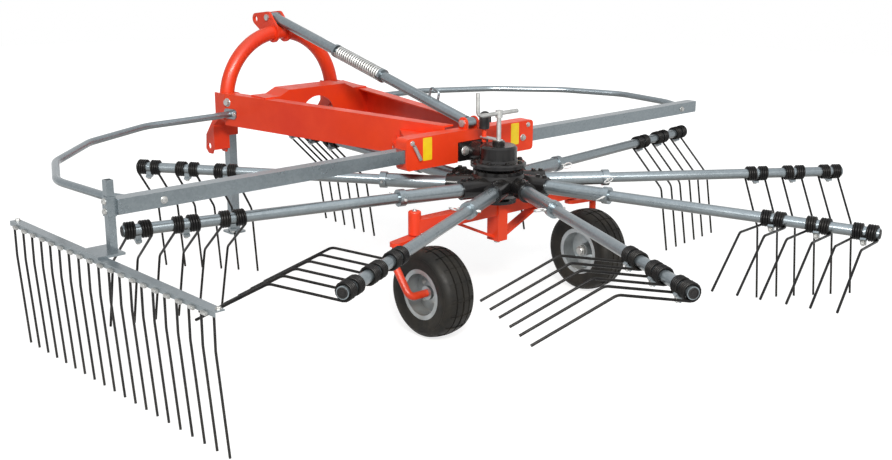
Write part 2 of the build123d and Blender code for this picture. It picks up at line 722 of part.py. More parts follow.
# Fixed column between the axle and the gearbox, on which the rotor turns
with BuildPart() as rotor_column:
    with BuildSketch(level(BEAM_TOP)):
        Circle(COLUMN_R - RUNNING)
    extrude(amount=BOX_BOTTOM - BEAM_TOP)
    with BuildSketch(level(BEAM_TOP)):
        Circle(72)
    extrude(amount=12)
rotor_column.part.label = "rotor_column"
export_step(rotor_column.part, "parts/rotor_column.step")

# Parking stand: square tube in a sleeve on the left hitch bracket
with BuildPart() as stand_sleeve:
    with BuildSketch(level(HITCH_Z + 30)):
        with Locations((STAND_X, STAND_Y)):
            Rectangle(SLEEVE_S, SLEEVE_S)
            Rectangle(STAND_S + 2 * SLIDE, STAND_S + 2 * SLIDE, mode=Mode.SUBTRACT)
    extrude(amount=150)
    # gusset between the sleeve and the bracket's cheek
    with BuildSketch(level(HITCH_Z + 32)):
        with BuildLine():
            Polyline(
                (CHEEK_X, HITCH_Y - 32), (CHEEK_X, HITCH_Y + 18),
                (STAND_X - SLEEVE_S / 2, STAND_Y + 18), (STAND_X - SLEEVE_S / 2, STAND_Y - 22), close=True,
            )
        make_face()
    extrude(amount=60)
stand_sleeve.part.label = "stand_sleeve"
export_step(stand_sleeve.part, "parts/stand_sleeve.step")

with BuildPart() as stand_leg:
    with BuildSketch(level(0)):
        with Locations((STAND_X, STAND_Y)):
            RectangleRounded(STAND_FOOT, STAND_FOOT, 10)
    extrude(amount=8)
    with BuildSketch(level(8)):
        with Locations((STAND_X, STAND_Y)):
            Rectangle(STAND_S, STAND_S)
            Rectangle(STAND_S - 8, STAND_S - 8, mode=Mode.SUBTRACT)
    extrude(amount=STAND_TOP - 8)
stand_leg.part.label = "stand_leg"
export_step(stand_leg.part, "parts/stand_leg.step")

# Rotor hub: drum with one socket for each arm
with BuildPart() as rotor_hub:
    with BuildSketch(across(0)):
        with BuildLine():
            Polyline(
                (0, HUB_BOTTOM), (HUB_R - 16, HUB_BOTTOM), (HUB_R, HUB_BOTTOM + 14), (HUB_R, HUB_TOP - 26),
                (HUB_R - 8, HUB_TOP - 14), (HUB_R - 8, HUB_TOP), (0, HUB_TOP), close=True,
            )
        make_face()
    revolve(axis=Axis((ROTOR_X, ROTOR_Y, 0), (0, 0, 1)))
    for index in range(ARM_COUNT):
        with BuildSketch(arm_plane(index, SOCKET_END)):
            Circle(SOCKET_D / 2)
        extrude(amount=-(SOCKET_END - 70))
    with BuildSketch(level(HUB_BOTTOM)):
        Circle(COLUMN_R)
    extrude(amount=HUB_TOP - HUB_BOTTOM, mode=Mode.SUBTRACT)
    for index in range(ARM_COUNT):
        with BuildSketch(arm_plane(index, SOCKET_END)):
            Circle(STUB_D / 2)
        extrude(amount=-(SOCKET_END - STUB_START), mode=Mode.SUBTRACT)
rotor_hub.part.label = "rotor_hub"
export_step(rotor_hub.part, "parts/rotor_hub.step")

with BuildPart() as arm_stubs:
    for index in range(ARM_COUNT):
        with BuildSketch(arm_plane(index, STUB_START)):
            Circle(STUB_D / 2)
            Circle(ARM_D / 2, mode=Mode.SUBTRACT)
        extrude(amount=STUB_END - STUB_START)
        with BuildSketch(arm_plane(index, STUB_END - 26)):
            Circle(STUB_D / 2 + 5)
            Circle(ARM_D / 2, mode=Mode.SUBTRACT)
        extrude(amount=26)
arm_stubs.part.label = "arm_stubs"
export_step(arm_stubs.part, "parts/arm_stubs.step")

# Tine arms with the saddles that clamp the double tines
ARM_START = STUB_END - 120
pair_reach = [ARM_END - COIL_IN - COIL_MIDDLE - COIL_L / 2 - PAIR_PITCH * pair for pair in range(PAIRS)]
SADDLE_L = 20
BOLT_LEAD = 12
with BuildPart() as tine_arms:
    for index in range(ARM_COUNT):
        with BuildSketch(arm_plane(index, ARM_START)):
            Circle(ARM_D / 2)
            Circle(ARM_D / 2 - ARM_WALL, mode=Mode.SUBTRACT)
        extrude(amount=ARM_END - ARM_START)
        for reach in pair_reach:
            seat = arm_plane(index, reach, ARM_ROLL[index])
            with BuildSketch(seat):
                with Locations((BOLT_LEAD - 4, -COIL_R - WIRE_D / 2 - 4)):
                    Rectangle(30, 8)
                with Locations((BOLT_LEAD, -COIL_R)):
                    Rectangle(9, 24)
            extrude(amount=SADDLE_L / 2, both=True)
tine_arms.part.label = "tine_arms"
export_step(tine_arms.part, "parts/tine_arms.step")


# Double tines: two coils round the arm, joined under the saddle, each with a leg bent once
for index in range(ARM_COUNT):
    with BuildPart() as tines:
        for reach in pair_reach:
            for side in (-1, 1):
                with BuildSketch(arm_plane(index, reach + side * COIL_MIDDLE)):
                    Circle(COIL_D / 2)
                    Circle(ARM_D / 2, mode=Mode.SUBTRACT)
                extrude(amount=COIL_L / 2, both=True)
                with BuildLine(arm_plane(index, reach + side * LEG_GAP / 2, ARM_ROLL[index])) as leg:
                    FilletPolyline(leg_start, leg_bend, leg_tip, radius=TINE_BEND)
                with BuildSketch(Plane(origin=leg.line @ 0, z_dir=leg.line % 0)):
                    Circle(WIRE_D / 2)
                sweep(path=leg.line)
            with BuildSketch(arm_plane(index, reach, ARM_ROLL[index])):
                with Locations((0, -COIL_R)):
                    Circle(WIRE_D / 2)
            extrude(amount=COIL_MIDDLE, both=True)
    tines.part.label = f"tines_{index + 1}"
    export_step(tines.part, f"parts/tines_{index + 1}.step")


# Castors: pivot pin, arm over the tyre and a bent leg that carries the wheel from outside
def castor(side):
    bar = side * (WHEEL_X + BAR_X)
    with BuildPart() as leg:
        with BuildSketch(level(CASTOR_Z)):
            with Locations((side * WHEEL_X, 0)):
                Circle(26)
            with Locations((bar, -24)):
                Circle(22)
            make_hull()
        extrude(amount=CASTOR_T)
        with BuildSketch(level(CASTOR_Z)):
            with Locations((side * WHEEL_X, 0)):
                Circle(AXLE_R)
        extrude(amount=SLEEVE_TOP - 12 - CASTOR_Z)
        with BuildLine(level(0)) as path:
            FilletPolyline(
                (bar, -24, CASTOR_Z + 6), (bar, -24, 262), (bar, -TRAIL, TYRE_R),
                (side * (WHEEL_X - 52), -TRAIL, TYRE_R), radius=[34, 24],
            )
        with BuildSketch(Plane(origin=path.line @ 0, z_dir=path.line % 0)):
            Circle(BAR_D / 2)
        sweep(path=path.line)
    return leg


castor_left = castor(-1)
castor_left.part.label = "castor_left"
export_step(castor_left.part, "parts/castor_left.step")

castor_right = castor(1)
castor_right.part.label = "castor_right"
export_step(castor_right.part, "parts/castor_right.step")


# Wheels: steel rim with a dished disc and hub, and the tyre on it
def wheel_plane(side):
    """Plane through the axle: local x points away from the machine, local y is up."""
    middle = (ROTOR_X + side * WHEEL_X, ROTOR_Y - TRAIL, TYRE_R)
    return Plane(origin=middle, x_dir=(side, 0, 0), z_dir=(0, -side, 0))


BEAD = TYRE_W / 2 - 14


def rim(side):
    place = wheel_plane(side)
    with BuildPart() as wheel:
        with BuildSketch(place):
            with Locations((0, RIM_R - 2)):
                Rectangle(2 * BEAD + 10, 4)
            with Locations((-BEAD - 2.5, RIM_R - 4), (BEAD + 2.5, RIM_R - 4)):
                Rectangle(5, FLANGE_R - RIM_R + 4, align=(Align.CENTER, Align.MIN))
            with BuildLine():
                Polyline((14, 20), (21, 20), (4, RIM_R - 1), (-3, RIM_R - 1), close=True)
            make_face()
            with Locations((0, AXLE_R + RUNNING)):
                Rectangle(64, 26 - AXLE_R - RUNNING, align=(Align.CENTER, Align.MIN))
        revolve(axis=Axis(place.origin, place.x_dir))
    return wheel


def tyre(side):
    place = wheel_plane(side)
    with BuildPart() as ring:
        with BuildSketch(place):
            with BuildLine():
                wall = ThreePointArc((-BEAD, FLANGE_R), (-TYRE_W / 2, 130), (-BEAD + 4, 158))
                tread = ThreePointArc(wall @ 1, (0, TYRE_R), (BEAD - 4, 158))
                ThreePointArc(tread @ 1, (TYRE_W / 2, 130), (BEAD, FLANGE_R))
                Polyline((BEAD, FLANGE_R), (BEAD, RIM_R), (-BEAD, RIM_R), (-BEAD, FLANGE_R))
            make_face()
        revolve(axis=Axis(place.origin, place.x_dir))
    return ring


rim_left = rim(-1)
rim_left.part.label = "rim_left"
export_step(rim_left.part, "parts/rim_left.step")

rim_right = rim(1)
rim_right.part.label = "rim_right"
export_step(rim_right.part, "parts/rim_right.step")

tyre_left = tyre(-1)
tyre_left.part.label = "tyre_left"
export_step(tyre_left.part, "parts/tyre_left.step")

tyre_right = tyre(1)
tyre_right.part.label = "tyre_right"
export_step(tyre_right.part, "parts/tyre_right.step")

# Swath curtain: sliding arm in the left cross tube, post in the arm's collar, bar and hanging tines
ARM_S = TUBE_S - 2 * TUBE_WALL - 2 * SLIDE
COLLAR_WALL = 3
FLANGE_T = 8
STOP_GAP = 0.5
COLLAR_S = POST_S + 2 * COLLAR_WALL
POST_X = TUBE_LEFT - STOP_GAP - FLANGE_T - COLLAR_S / 2
TUBE_Y = HEAD_Y + HEAD_DEPTH / 2
with BuildPart() as curtain_arm:
    with BuildSketch(along(POST_X + COLLAR_S / 2)):
        with Locations((TUBE_Y, TUBE_Z)):
            Rectangle(ARM_S, ARM_S)
    extrude(amount=650)
    with BuildSketch(along(POST_X + COLLAR_S / 2)):
        with Locations((TUBE_Y, TUBE_Z)):
            RectangleRounded(TUBE_S + 2, TUBE_S + 2, 6)
    extrude(amount=FLANGE_T)
    with BuildSketch(along(POST_X + COLLAR_S / 2 + FLANGE_T)):
        with Locations((TUBE_Y, TUBE_Z)):
            Rectangle(ARM_S - 8, ARM_S - 8)
    extrude(amount=650, mode=Mode.SUBTRACT)
    with BuildSketch(level(COLLAR_BOTTOM)):
        with Locations((POST_X, TUBE_Y)):
            Rectangle(COLLAR_S, COLLAR_S)
    extrude(amount=COLLAR_TOP - COLLAR_BOTTOM)
    with BuildSketch(level(COLLAR_BOTTOM)):
        with Locations((POST_X, TUBE_Y)):
            Rectangle(POST_S + 2 * SLIDE, POST_S + 2 * SLIDE)
    extrude(amount=COLLAR_TOP - COLLAR_BOTTOM, mode=Mode.SUBTRACT)
curtain_arm.part.label = "curtain_arm"
export_step(curtain_arm.part, "parts/curtain_arm.step")

FOOT_T = 8
with BuildPart() as curtain_post:
    with BuildSketch(level(BAR_Z)):
        with Locations((BAR_LEFT, TUBE_Y)):
            Rectangle(POST_X + POST_S / 2 - BAR_LEFT, 120, align=(Align.MIN, Align.CENTER))
    extrude(amount=FOOT_T)
    with BuildSketch(level(BAR_Z + FOOT_T)):
        with Locations((POST_X, TUBE_Y)):
            Rectangle(POST_S, POST_S)
            Rectangle(POST_S - 2 * POST_WALL, POST_S - 2 * POST_WALL, mode=Mode.SUBTRACT)
    extrude(amount=POST_TOP - BAR_Z - FOOT_T)
curtain_post.part.label = "curtain_post"
export_step(curtain_post.part, "parts/curtain_post.step")

with BuildPart() as curtain_bar:
    with BuildSketch(across(BAR_REAR)):
        with Locations((BAR_LEFT, BAR_Z)):
            Rectangle(BAR_LEG, BAR_T, align=(Align.MIN, Align.MAX))
            Rectangle(BAR_T, BAR_LIP, align=(Align.MIN, Align.MAX))
    extrude(amount=-(BAR_FRONT - BAR_REAR))
curtain_bar.part.label = "curtain_bar"
export_step(curtain_bar.part, "parts/curtain_bar.step")

with BuildPart() as curtain_tines:
    pitch = (BAR_FRONT - BAR_REAR - 30) / (CURTAIN_TINES - 1)
    for number in range(CURTAIN_TINES):
        place = BAR_REAR + 15 + pitch * number
        with BuildLine(along(BAR_LEFT + BAR_T + CURTAIN_WIRE / 2)) as hang:
            FilletPolyline(
                (place, BAR_Z - BAR_T), (place, CURTAIN_BEND), (place - 48, CURTAIN_TIP), radius=60,
            )
        with BuildSketch(Plane(origin=hang.line @ 0, z_dir=hang.line % 0)):
            Circle(CURTAIN_WIRE / 2)
        sweep(path=hang.line)
curtain_tines.part.label = "curtain_tines"
export_step(curtain_tines.part, "parts/curtain_tines.step")
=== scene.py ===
# %% [markdown]
# # A mounted hay rake with one rotor
# The imported model holds every rigid piece of the rake at its true size, in metres. This lesson leaves those pieces
# where they are, gives each of them a finish, and models what a solid model leaves out: wound tines, the strut's
# spring, tyre treads, bolts, nuts, pins, plugs and two yellow patches.

# %% load the imported model
import json
import math

import bmesh
import bpy
from mathutils import Matrix, Vector


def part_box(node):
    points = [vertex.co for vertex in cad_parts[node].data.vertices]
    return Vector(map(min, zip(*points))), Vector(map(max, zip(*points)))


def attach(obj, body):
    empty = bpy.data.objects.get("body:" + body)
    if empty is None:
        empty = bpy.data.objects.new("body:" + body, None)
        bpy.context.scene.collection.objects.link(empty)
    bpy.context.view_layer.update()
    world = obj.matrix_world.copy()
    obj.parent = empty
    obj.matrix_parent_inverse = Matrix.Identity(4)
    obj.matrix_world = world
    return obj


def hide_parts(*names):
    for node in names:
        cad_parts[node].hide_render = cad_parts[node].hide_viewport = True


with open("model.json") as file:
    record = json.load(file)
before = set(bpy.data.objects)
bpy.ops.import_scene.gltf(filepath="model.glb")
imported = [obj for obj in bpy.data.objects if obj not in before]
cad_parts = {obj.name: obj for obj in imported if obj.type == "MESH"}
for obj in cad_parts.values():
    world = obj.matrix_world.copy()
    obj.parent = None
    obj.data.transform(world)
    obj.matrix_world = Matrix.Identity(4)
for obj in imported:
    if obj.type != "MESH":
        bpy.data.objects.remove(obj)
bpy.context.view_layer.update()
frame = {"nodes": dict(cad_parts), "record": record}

nodes = frame["nodes"]

# %% [markdown]
# ## Camera
# The camera stands where the picture was taken from: behind the rake, to its left and a little above the rotor.
# It could be placed by eye. Here its place was found by fitting known points of the machine to the picture, so it
# is written as a distance from the rotor's axis, three angles and a lens. The picture was cropped off centre, which
# the two shift values take up. The rotor's axis is read from the fixed column that it turns on.

# %% camera
IMAGE_W = 892
IMAGE_H = 460
UP = Vector((0, 0, 1))
column_low, column_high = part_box("rotor_column")
ROTOR = Vector(((column_low.x + column_high.x) / 2, (column_low.y + column_high.y) / 2, 0.0))
CAMERA_OFF = Vector((-3.29977, -3.33802, 1.58529))
AZIMUTH, ELEVATION, ROLL = (math.radians(v) for v in (-45.311, 15.940, 1.112))
FOCAL_PX = 1243.98
CENTRE_PX = (510.35, 244.09)
SENSOR_MM = 36.0
SIGHT = 200                            # metres

level_back = Vector((math.sin(AZIMUTH), -math.cos(AZIMUTH), 0))
back = level_back * math.cos(ELEVATION) + UP * math.sin(ELEVATION)
level_right = (-back).cross(UP).normalized()
level_up = level_right.cross(-back)
right = level_right * math.cos(ROLL) + level_up * math.sin(ROLL)
up = level_up * math.cos(ROLL) - level_right * math.sin(ROLL)

camera_data = bpy.data.cameras.new("camera")
camera = bpy.data.objects.new("camera", camera_data)
bpy.context.scene.collection.objects.link(camera)
turn = Matrix((right, up, back)).transposed().to_4x4()
camera.matrix_world = Matrix.Translation(ROTOR + CAMERA_OFF) @ turn
camera_data.sensor_width = SENSOR_MM
camera_data.lens = FOCAL_PX / IMAGE_W * SENSOR_MM
camera_data.shift_x = (IMAGE_W / 2 - CENTRE_PX[0]) / IMAGE_W
camera_data.shift_y = (CENTRE_PX[1] - IMAGE_H / 2) / IMAGE_W
camera_data.clip_end = SIGHT
bpy.context.scene.camera = camera
print("rotor axis at", [round(v, 4) for v in ROTOR], "lens", round(camera_data.lens, 2), "mm")

# %% [markdown]
# ## Light
# The rake is lit as in daylight: a wide cool lamp overhead stands for the open sky, a small warm one from behind on
# the left for a low sun, and a weak one opens the shadows. Lamps with no size would give harder shadows, so all
# of them are area lamps. Galvanised tubes also carry a bright line from the sky's edge. A long lamp that only
# reflections see draws that line and leaves the shadows as they are.

# %% lamps
bpy.context.scene.view_settings.view_transform = "Standard"


def lamp(name, place, target, size, power, colour):
    """An area lamp of a size in metres and a power in watts, turned towards its target."""
    data = bpy.data.lights.new(name, "AREA")
    data.shape = "RECTANGLE"
    data.size, data.size_y = size
    data.energy = power
    data.color = colour
    lamp_object = bpy.data.objects.new(name, data)
    lamp_object.location = place
    way = Vector(target) - Vector(place)
    lamp_object.rotation_euler = way.to_track_quat("-Z", "Y").to_euler()
    bpy.context.scene.collection.objects.link(lamp_object)
    return lamp_object


lamp("sky_lamp", (-0.6, -0.6, 5.0), (0, 0, 0.3), (6.5, 6.5), 120, (0.90, 0.95, 1.0))
lamp("sun_lamp", (-3.9, -4.9, 4.4), (0, 0, 0.4), (1.4, 1.4), 440, (1.0, 0.96, 0.90))
lamp("fill_lamp", (3.6, -4.4, 2.4), (0, 0, 0.4), (3.0, 2.4), 22, (1.0, 1.0, 1.0))
glint_lamp = lamp("glint_lamp", (-4.7, -4.6, 4.4), (0, 0, 0.4), (7.5, 1.0), 1500, (1.0, 0.98, 0.95))
glint_lamp.visible_diffuse = False
print(len(bpy.data.lights), "lamps")

# %% [markdown]
# ## Helpers for shader nodes
# World, floor and finishes are trees of nodes, and a few helpers place the nodes that come up again and again. Each
# takes a number where a constant will do, or another node's socket where the value changes over the surface.

# %% helpers for shader nodes


def feed(tree, socket, value):
    """Links a value to a socket, or sets it there if it is a constant."""
    if isinstance(value, bpy.types.NodeSocket):
        tree.links.new(value, socket)
    else:
        socket.default_value = value


def fill(tree, node, **values):
    """Feeds a node's inputs by name; a space in a name is written as _."""
    for name, value in values.items():
        feed(tree, node.inputs[name.replace("_", " ")], value)


def ramp(tree, value, low, high, to_low=0.0, to_high=1.0):
    """Value carried from low..high to to_low..to_high and kept within it."""
    node = tree.nodes.new("ShaderNodeMapRange")
    fill(tree, node, Value=value, From_Min=low, From_Max=high, To_Min=to_low, To_Max=to_high)
    return node.outputs["Result"]


def calc(tree, operation, first, second):
    """Two values taken together, by an operation such as ADD or MULTIPLY."""
    node = tree.nodes.new("ShaderNodeMath")
    node.operation = operation
    feed(tree, node.inputs[0], first)
    feed(tree, node.inputs[1], second)
    return node.outputs[0]


print("helpers for shader nodes")

# %% [markdown]
# ## White surroundings
# The picture is cut out on white, so the floor and the world look white to the camera, to mirror-like surfaces and
# through glass. Stronger lamps would give a white floor too, but they would bleach the paint. The Light Path node tells
# the rays apart instead. Every other ray meets a dull sky and a middle grey ground, so that undersides stay dark.

# %% world


def show(tree, output, lit, shown):
    """One shader for most rays, and another for those that look white."""
    rays = tree.nodes.new("ShaderNodeLightPath").outputs
    white = calc(tree, "MAXIMUM", rays["Is Camera Ray"], rays["Is Glossy Ray"])
    white = calc(tree, "MAXIMUM", white, rays["Is Transmission Ray"])
    mix = tree.nodes.new("ShaderNodeMixShader")
    for place, value in enumerate((white, lit.outputs[0], shown.outputs[0])):
        tree.links.new(value, mix.inputs[place])
    tree.links.new(mix.outputs[0], output.inputs["Surface"])


world = bpy.data.worlds.new("studio")
bpy.context.scene.world = world
world.use_nodes = True
sky = world.node_tree
sky.nodes.clear()
sky_shown = sky.nodes.new("ShaderNodeBackground")
fill(sky, sky_shown, Color=(1, 1, 1, 1))
sky_lit = sky.nodes.new("ShaderNodeBackground")
fill(sky, sky_lit, Color=(0.62, 0.66, 0.70, 1), Strength=0.38)
show(sky, sky.nodes.new("ShaderNodeOutputWorld"), sky_lit, sky_shown)
print("world", len(sky.nodes), "nodes")

# %% [markdown]
# The floor is one wide disc, so that no edge of it comes into view. It takes the rake's shadow as a grey surface would,
# and a glow that grows towards the rim lifts it to white, so that it meets the world without a horizon.

# %% floor
FLOOR_R, FLOOR_DROP = 9.0, 0.0005      # the drop keeps it clear of what stands on it
GLOW_FROM, GLOW_TO = 1.6, 4.5          # metres from the middle
GLOW_NEAR, GLOW_FAR = 0.78, 1.0
bpy.ops.object.select_all(action="DESELECT")
bpy.ops.mesh.primitive_circle_add(vertices=96, radius=FLOOR_R, fill_type="NGON", location=(0, 0, -FLOOR_DROP))
floor = bpy.context.active_object
floor.name = "floor"
floor_paint = bpy.data.materials.new("floor_white")
floor_paint.use_nodes = True
paint = floor_paint.node_tree
floor_shade = paint.nodes["Principled BSDF"]
fill(paint, floor_shade, Base_Color=(0.36, 0.36, 0.35, 1), Roughness=0.9)
floor_way = paint.nodes.new("ShaderNodeVectorMath")
floor_way.operation = "LENGTH"
feed(paint, floor_way.inputs[0], paint.nodes.new("ShaderNodeTexCoord").outputs["Object"])
floor_glow = paint.nodes.new("ShaderNodeEmission")
fill(paint, floor_glow, Strength=ramp(paint, floor_way.outputs["Value"], GLOW_FROM, GLOW_TO, GLOW_NEAR, GLOW_FAR))
floor_shown = paint.nodes.new("ShaderNodeAddShader")
feed(paint, floor_shown.inputs[0], floor_shade.outputs[0])
feed(paint, floor_shown.inputs[1], floor_glow.outputs[0])
show(paint, paint.nodes["Material Output"], floor_shade, floor_shown)
floor.data.materials.append(floor_paint)
print("floor", FLOOR_R * 2, "m across")

# %% [markdown]
# ## Shared surface effects
# Paint, zinc and rubber on a machine that works outdoors differ less in colour than in what happened to them since:
# dust settles, corners lose their paint and hot-dip zinc grows crystals. One more group paints shade on the faces
# that look down. These could be painted by hand on each piece. Here each effect is a node group that gives a mask, so
# that every finish can use it with its own strength.
# All of them read Object coordinates, which are metres on this machine.

# %% helpers for surface effects


def new_group(name, inputs, outputs):
    """A node group with number sockets, and its two end nodes."""
    group = bpy.data.node_groups.new(name, "ShaderNodeTree")
    for socket, value in inputs:
        group.interface.new_socket(socket, in_out="INPUT", socket_type="NodeSocketFloat").default_value = value
    for socket in outputs:
        group.interface.new_socket(socket, in_out="OUTPUT", socket_type="NodeSocketFloat")
    return group, group.nodes.new("NodeGroupInput"), group.nodes.new("NodeGroupOutput")


def noise(tree, scale, detail=5.0, roughness=0.6):
    """Noise on Object coordinates."""
    node = tree.nodes.new("ShaderNodeTexNoise")
    spot = tree.nodes.new("ShaderNodeTexCoord").outputs["Object"]
    fill(tree, node, Vector=spot, Scale=scale, Detail=detail, Roughness=roughness)
    return node.outputs["Fac"]


def upward(tree, kind, output):
    """Upward part of a vector that a new node gives, such as a place or a normal."""
    split = tree.nodes.new("ShaderNodeSeparateXYZ")
    feed(tree, split.inputs[0], tree.nodes.new(kind).outputs[output])
    return split.outputs["Z"]


print("helpers for surface effects")

# %% [markdown]
# Dust settles on faces that look up and splashes on what is near the ground. The group reads the surface's normal and
# height, and breaks both up with noise so that the dust lies in patches.

# %% settled dust
dust_group, dust_in, dust_out = new_group(
    "settled_dust", [("Amount", 0.5), ("Patch scale", 9.0), ("Splash height", 0.45)], ["Mask"]
)
on_top = ramp(dust_group, upward(dust_group, "ShaderNodeNewGeometry", "Normal"), 0.35, 0.95, 0.0, 0.6)
ground_height = upward(dust_group, "ShaderNodeTexCoord", "Object")
near_ground = ramp(dust_group, ground_height, dust_in.outputs["Splash height"], 0.0, 0.0, 0.8)
patches = ramp(dust_group, noise(dust_group, dust_in.outputs["Patch scale"], 8.0, 0.65), 0.38, 0.68)
settled = calc(dust_group, "MULTIPLY", calc(dust_group, "ADD", on_top, near_ground), patches)
dust_mask = calc(dust_group, "MULTIPLY", settled, dust_in.outputs["Amount"])
feed(dust_group, dust_out.inputs["Mask"], ramp(dust_group, dust_mask, 0.0, 1.0))
print("group", dust_group.name, len(dust_group.nodes), "nodes")

# %% [markdown]
# Painted shade on faces that look down. The mask is the other half of the same normal, with a milder noise, so that
# the painted shade lies more evenly than the dust.

# %% painted shade underneath
# Painted shade: this mask darkens faces that look down, whatever light falls on them.
underside_shade_group, underside_shade_in, underside_shade_out = new_group("painted_underside_shade", [("Amount", 0.7)], ["Mask"])
looks_down = ramp(underside_shade_group, upward(underside_shade_group, "ShaderNodeNewGeometry", "Normal"), 0.05, -0.75)
shade_breakup = ramp(underside_shade_group, noise(underside_shade_group, 12.0, 6.0), 0.20, 0.55, 0.55, 1.0)
underside_shade_mask = calc(underside_shade_group, "MULTIPLY", looks_down, shade_breakup)
feed(underside_shade_group, underside_shade_out.inputs["Mask"], calc(underside_shade_group, "MULTIPLY", underside_shade_mask, underside_shade_in.outputs["Amount"]))
print("group", underside_shade_group.name, len(underside_shade_group.nodes), "nodes")

# %% [markdown]
# Paint goes first where a corner gets knocked. A Bevel node rounds the normals near an edge, so where they differ from
# the true normals there is an edge. Noise leaves most of its length untouched.

# %% worn edges
wear_group, wear_in, wear_out = new_group("worn_edges", [("Width", 0.003), ("Amount", 0.7)], ["Mask"])
wear_round = wear_group.nodes.new("ShaderNodeBevel")
wear_round.samples = 4
fill(wear_group, wear_round, Radius=wear_in.outputs["Width"])
wear_bend = wear_group.nodes.new("ShaderNodeVectorMath")
wear_bend.operation = "DOT_PRODUCT"
feed(wear_group, wear_bend.inputs[0], wear_round.outputs["Normal"])
feed(wear_group, wear_bend.inputs[1], wear_group.nodes.new("ShaderNodeNewGeometry").outputs["Normal"])
near_edge = ramp(wear_group, wear_bend.outputs["Value"], 0.97, 0.80)
rubbed = ramp(wear_group, noise(wear_group, 22.0, 8.0, 0.7), 0.52, 0.66)
wear_mask = calc(wear_group, "MULTIPLY", near_edge, rubbed)
feed(wear_group, wear_out.inputs["Mask"], calc(wear_group, "MULTIPLY", wear_mask, wear_in.outputs["Amount"]))
print("group", wear_group.name, len(wear_group.nodes), "nodes")

# %% [markdown]
# Steel that was dipped in molten zinc shows crystals of slightly different grey under a cloudy film. Voronoi cells give
# each crystal its tone. The dullness follows the cloud alone, because gloss that jumps from cell to cell glitters in
# dark specks.

# %% crystals of hot-dip zinc
zinc_group, zinc_in, zinc_out = new_group("zinc_crystals", [("Crystal scale", 70.0)], ["Tone", "Dullness"])
zinc_cells = zinc_group.nodes.new("ShaderNodeTexVoronoi")
zinc_spot = zinc_group.nodes.new("ShaderNodeTexCoord").outputs["Object"]
fill(zinc_group, zinc_cells, Vector=zinc_spot, Scale=zinc_in.outputs["Crystal scale"])
zinc_pick = zinc_group.nodes.new("ShaderNodeSeparateColor")
feed(zinc_group, zinc_pick.inputs[0], zinc_cells.outputs["Color"])
cloud = noise(zinc_group, 6.0, 6.0)
tone = calc(zinc_group, "MULTIPLY", zinc_pick.outputs["Red"], 0.35)
tone = calc(zinc_group, "ADD", tone, calc(zinc_group, "MULTIPLY", cloud, 0.65))
fill(zinc_group, zinc_out, Tone=tone, Dullness=ramp(zinc_group, cloud, 0.3, 0.7, 0.25, 0.34))
print("group", zinc_group.name, len(zinc_group.nodes), "nodes")

# %% [markdown]
# ## Finishes
# Each finish starts from the Principled shader. A colour that changes over the surface is mixed from two tones, then
# dust and bare metal are laid over it by the masks. What is the same all over, such as the strength of the clear coat's
# own gloss, is set on the shader's socket, where it is easy to find and to change.

# %% helpers for finishes
finishes = {}
EARTH, DARK_DUST = (0.36, 0.29, 0.20), (0.20, 0.17, 0.13)


def new_finish(name):
    """A material's tree and shader; the material is kept under the name of the record's slot."""
    material = bpy.data.materials.new(name)
    material.use_nodes = True
    finishes[name] = material
    return material.node_tree, material.node_tree.nodes["Principled BSDF"]


def blend(tree, mask, first, second):
    """Colour between two colours, each given as three numbers or as a socket."""
    node = tree.nodes.new("ShaderNodeMix")
    node.data_type = "RGBA"
    tree.links.new(mask, node.inputs["Factor"])
    for socket, colour in ((node.inputs[6], first), (node.inputs[7], second)):
        feed(tree, socket, (*colour, 1.0) if isinstance(colour, tuple) else colour)
    return node.outputs[2]


def effect(tree, group, **values):
    """Places a shared effect in a finish with its own values."""
    node = tree.nodes.new("ShaderNodeGroup")
    node.node_tree = group
    fill(tree, node, **values)
    return node.outputs


def mottled(tree, scale, detail, first, second, low=0.35, high=0.65):
    """Colour that drifts between two tones."""
    return blend(tree, ramp(tree, noise(tree, scale, detail), low, high), first, second)


def dusted(tree, colour, amount, scale, height, dust=EARTH):
    """The colour with dust settled on it, and the mask of the dust."""
    mask = effect(tree, dust_group, Amount=amount, Patch_scale=scale, Splash_height=height)["Mask"]
    return blend(tree, mask, colour, dust), mask


def worn_through(tree, colour, width, amount, bare):
    """The colour with what is under it showing along the edges."""
    return blend(tree, effect(tree, wear_group, Width=width, Amount=amount)["Mask"], colour, bare)


def drift(tree, scale, detail, low, high):
    """Roughness that drifts between two values."""
    return ramp(tree, noise(tree, scale, detail), 0.3, 0.7, low, high)


def bump(tree, shader, scale, detail, strength, distance):
    """Fine unevenness that only the light shows."""
    node = tree.nodes.new("ShaderNodeBump")
    fill(tree, node, Strength=strength, Distance=distance, Height=noise(tree, scale, detail))
    fill(tree, shader, Normal=node.outputs["Normal"])


print("helpers for finishes")

# %% [markdown]
# The frame's red is a thick glossy coat. It has faded a little in patches, carries thin dust on its top faces and has
# gone through to grey primer along the corners that get knocked. One flat red would look like plastic, so the tone,
# the gloss and the height each get a noise of their own, from wide patches down to the fine skin of sprayed paint.

# %% red paint
tree, shader = new_finish("red_paint")
colour = mottled(tree, 3.5, 6.0, (0.88, 0.058, 0.010), (0.77, 0.038, 0.008))
colour, dusty = dusted(tree, colour, amount=0.34, scale=7.0, height=0.40)
colour = worn_through(tree, colour, width=0.003, amount=0.75, bare=(0.20, 0.17, 0.16))
rough = calc(tree, "ADD", drift(tree, 14.0, 6.0, 0.34, 0.48), calc(tree, "MULTIPLY", dusty, 0.4))
fill(tree, shader, Base_Color=colour, Roughness=rough, Specular_IOR_Level=0.23)
fill(tree, shader, Coat_Weight=0.10, Coat_Roughness=0.15)
bump(tree, shader, 420.0, 2.0, strength=0.05, distance=0.0004)
print("red paint", len(tree.nodes), "nodes")
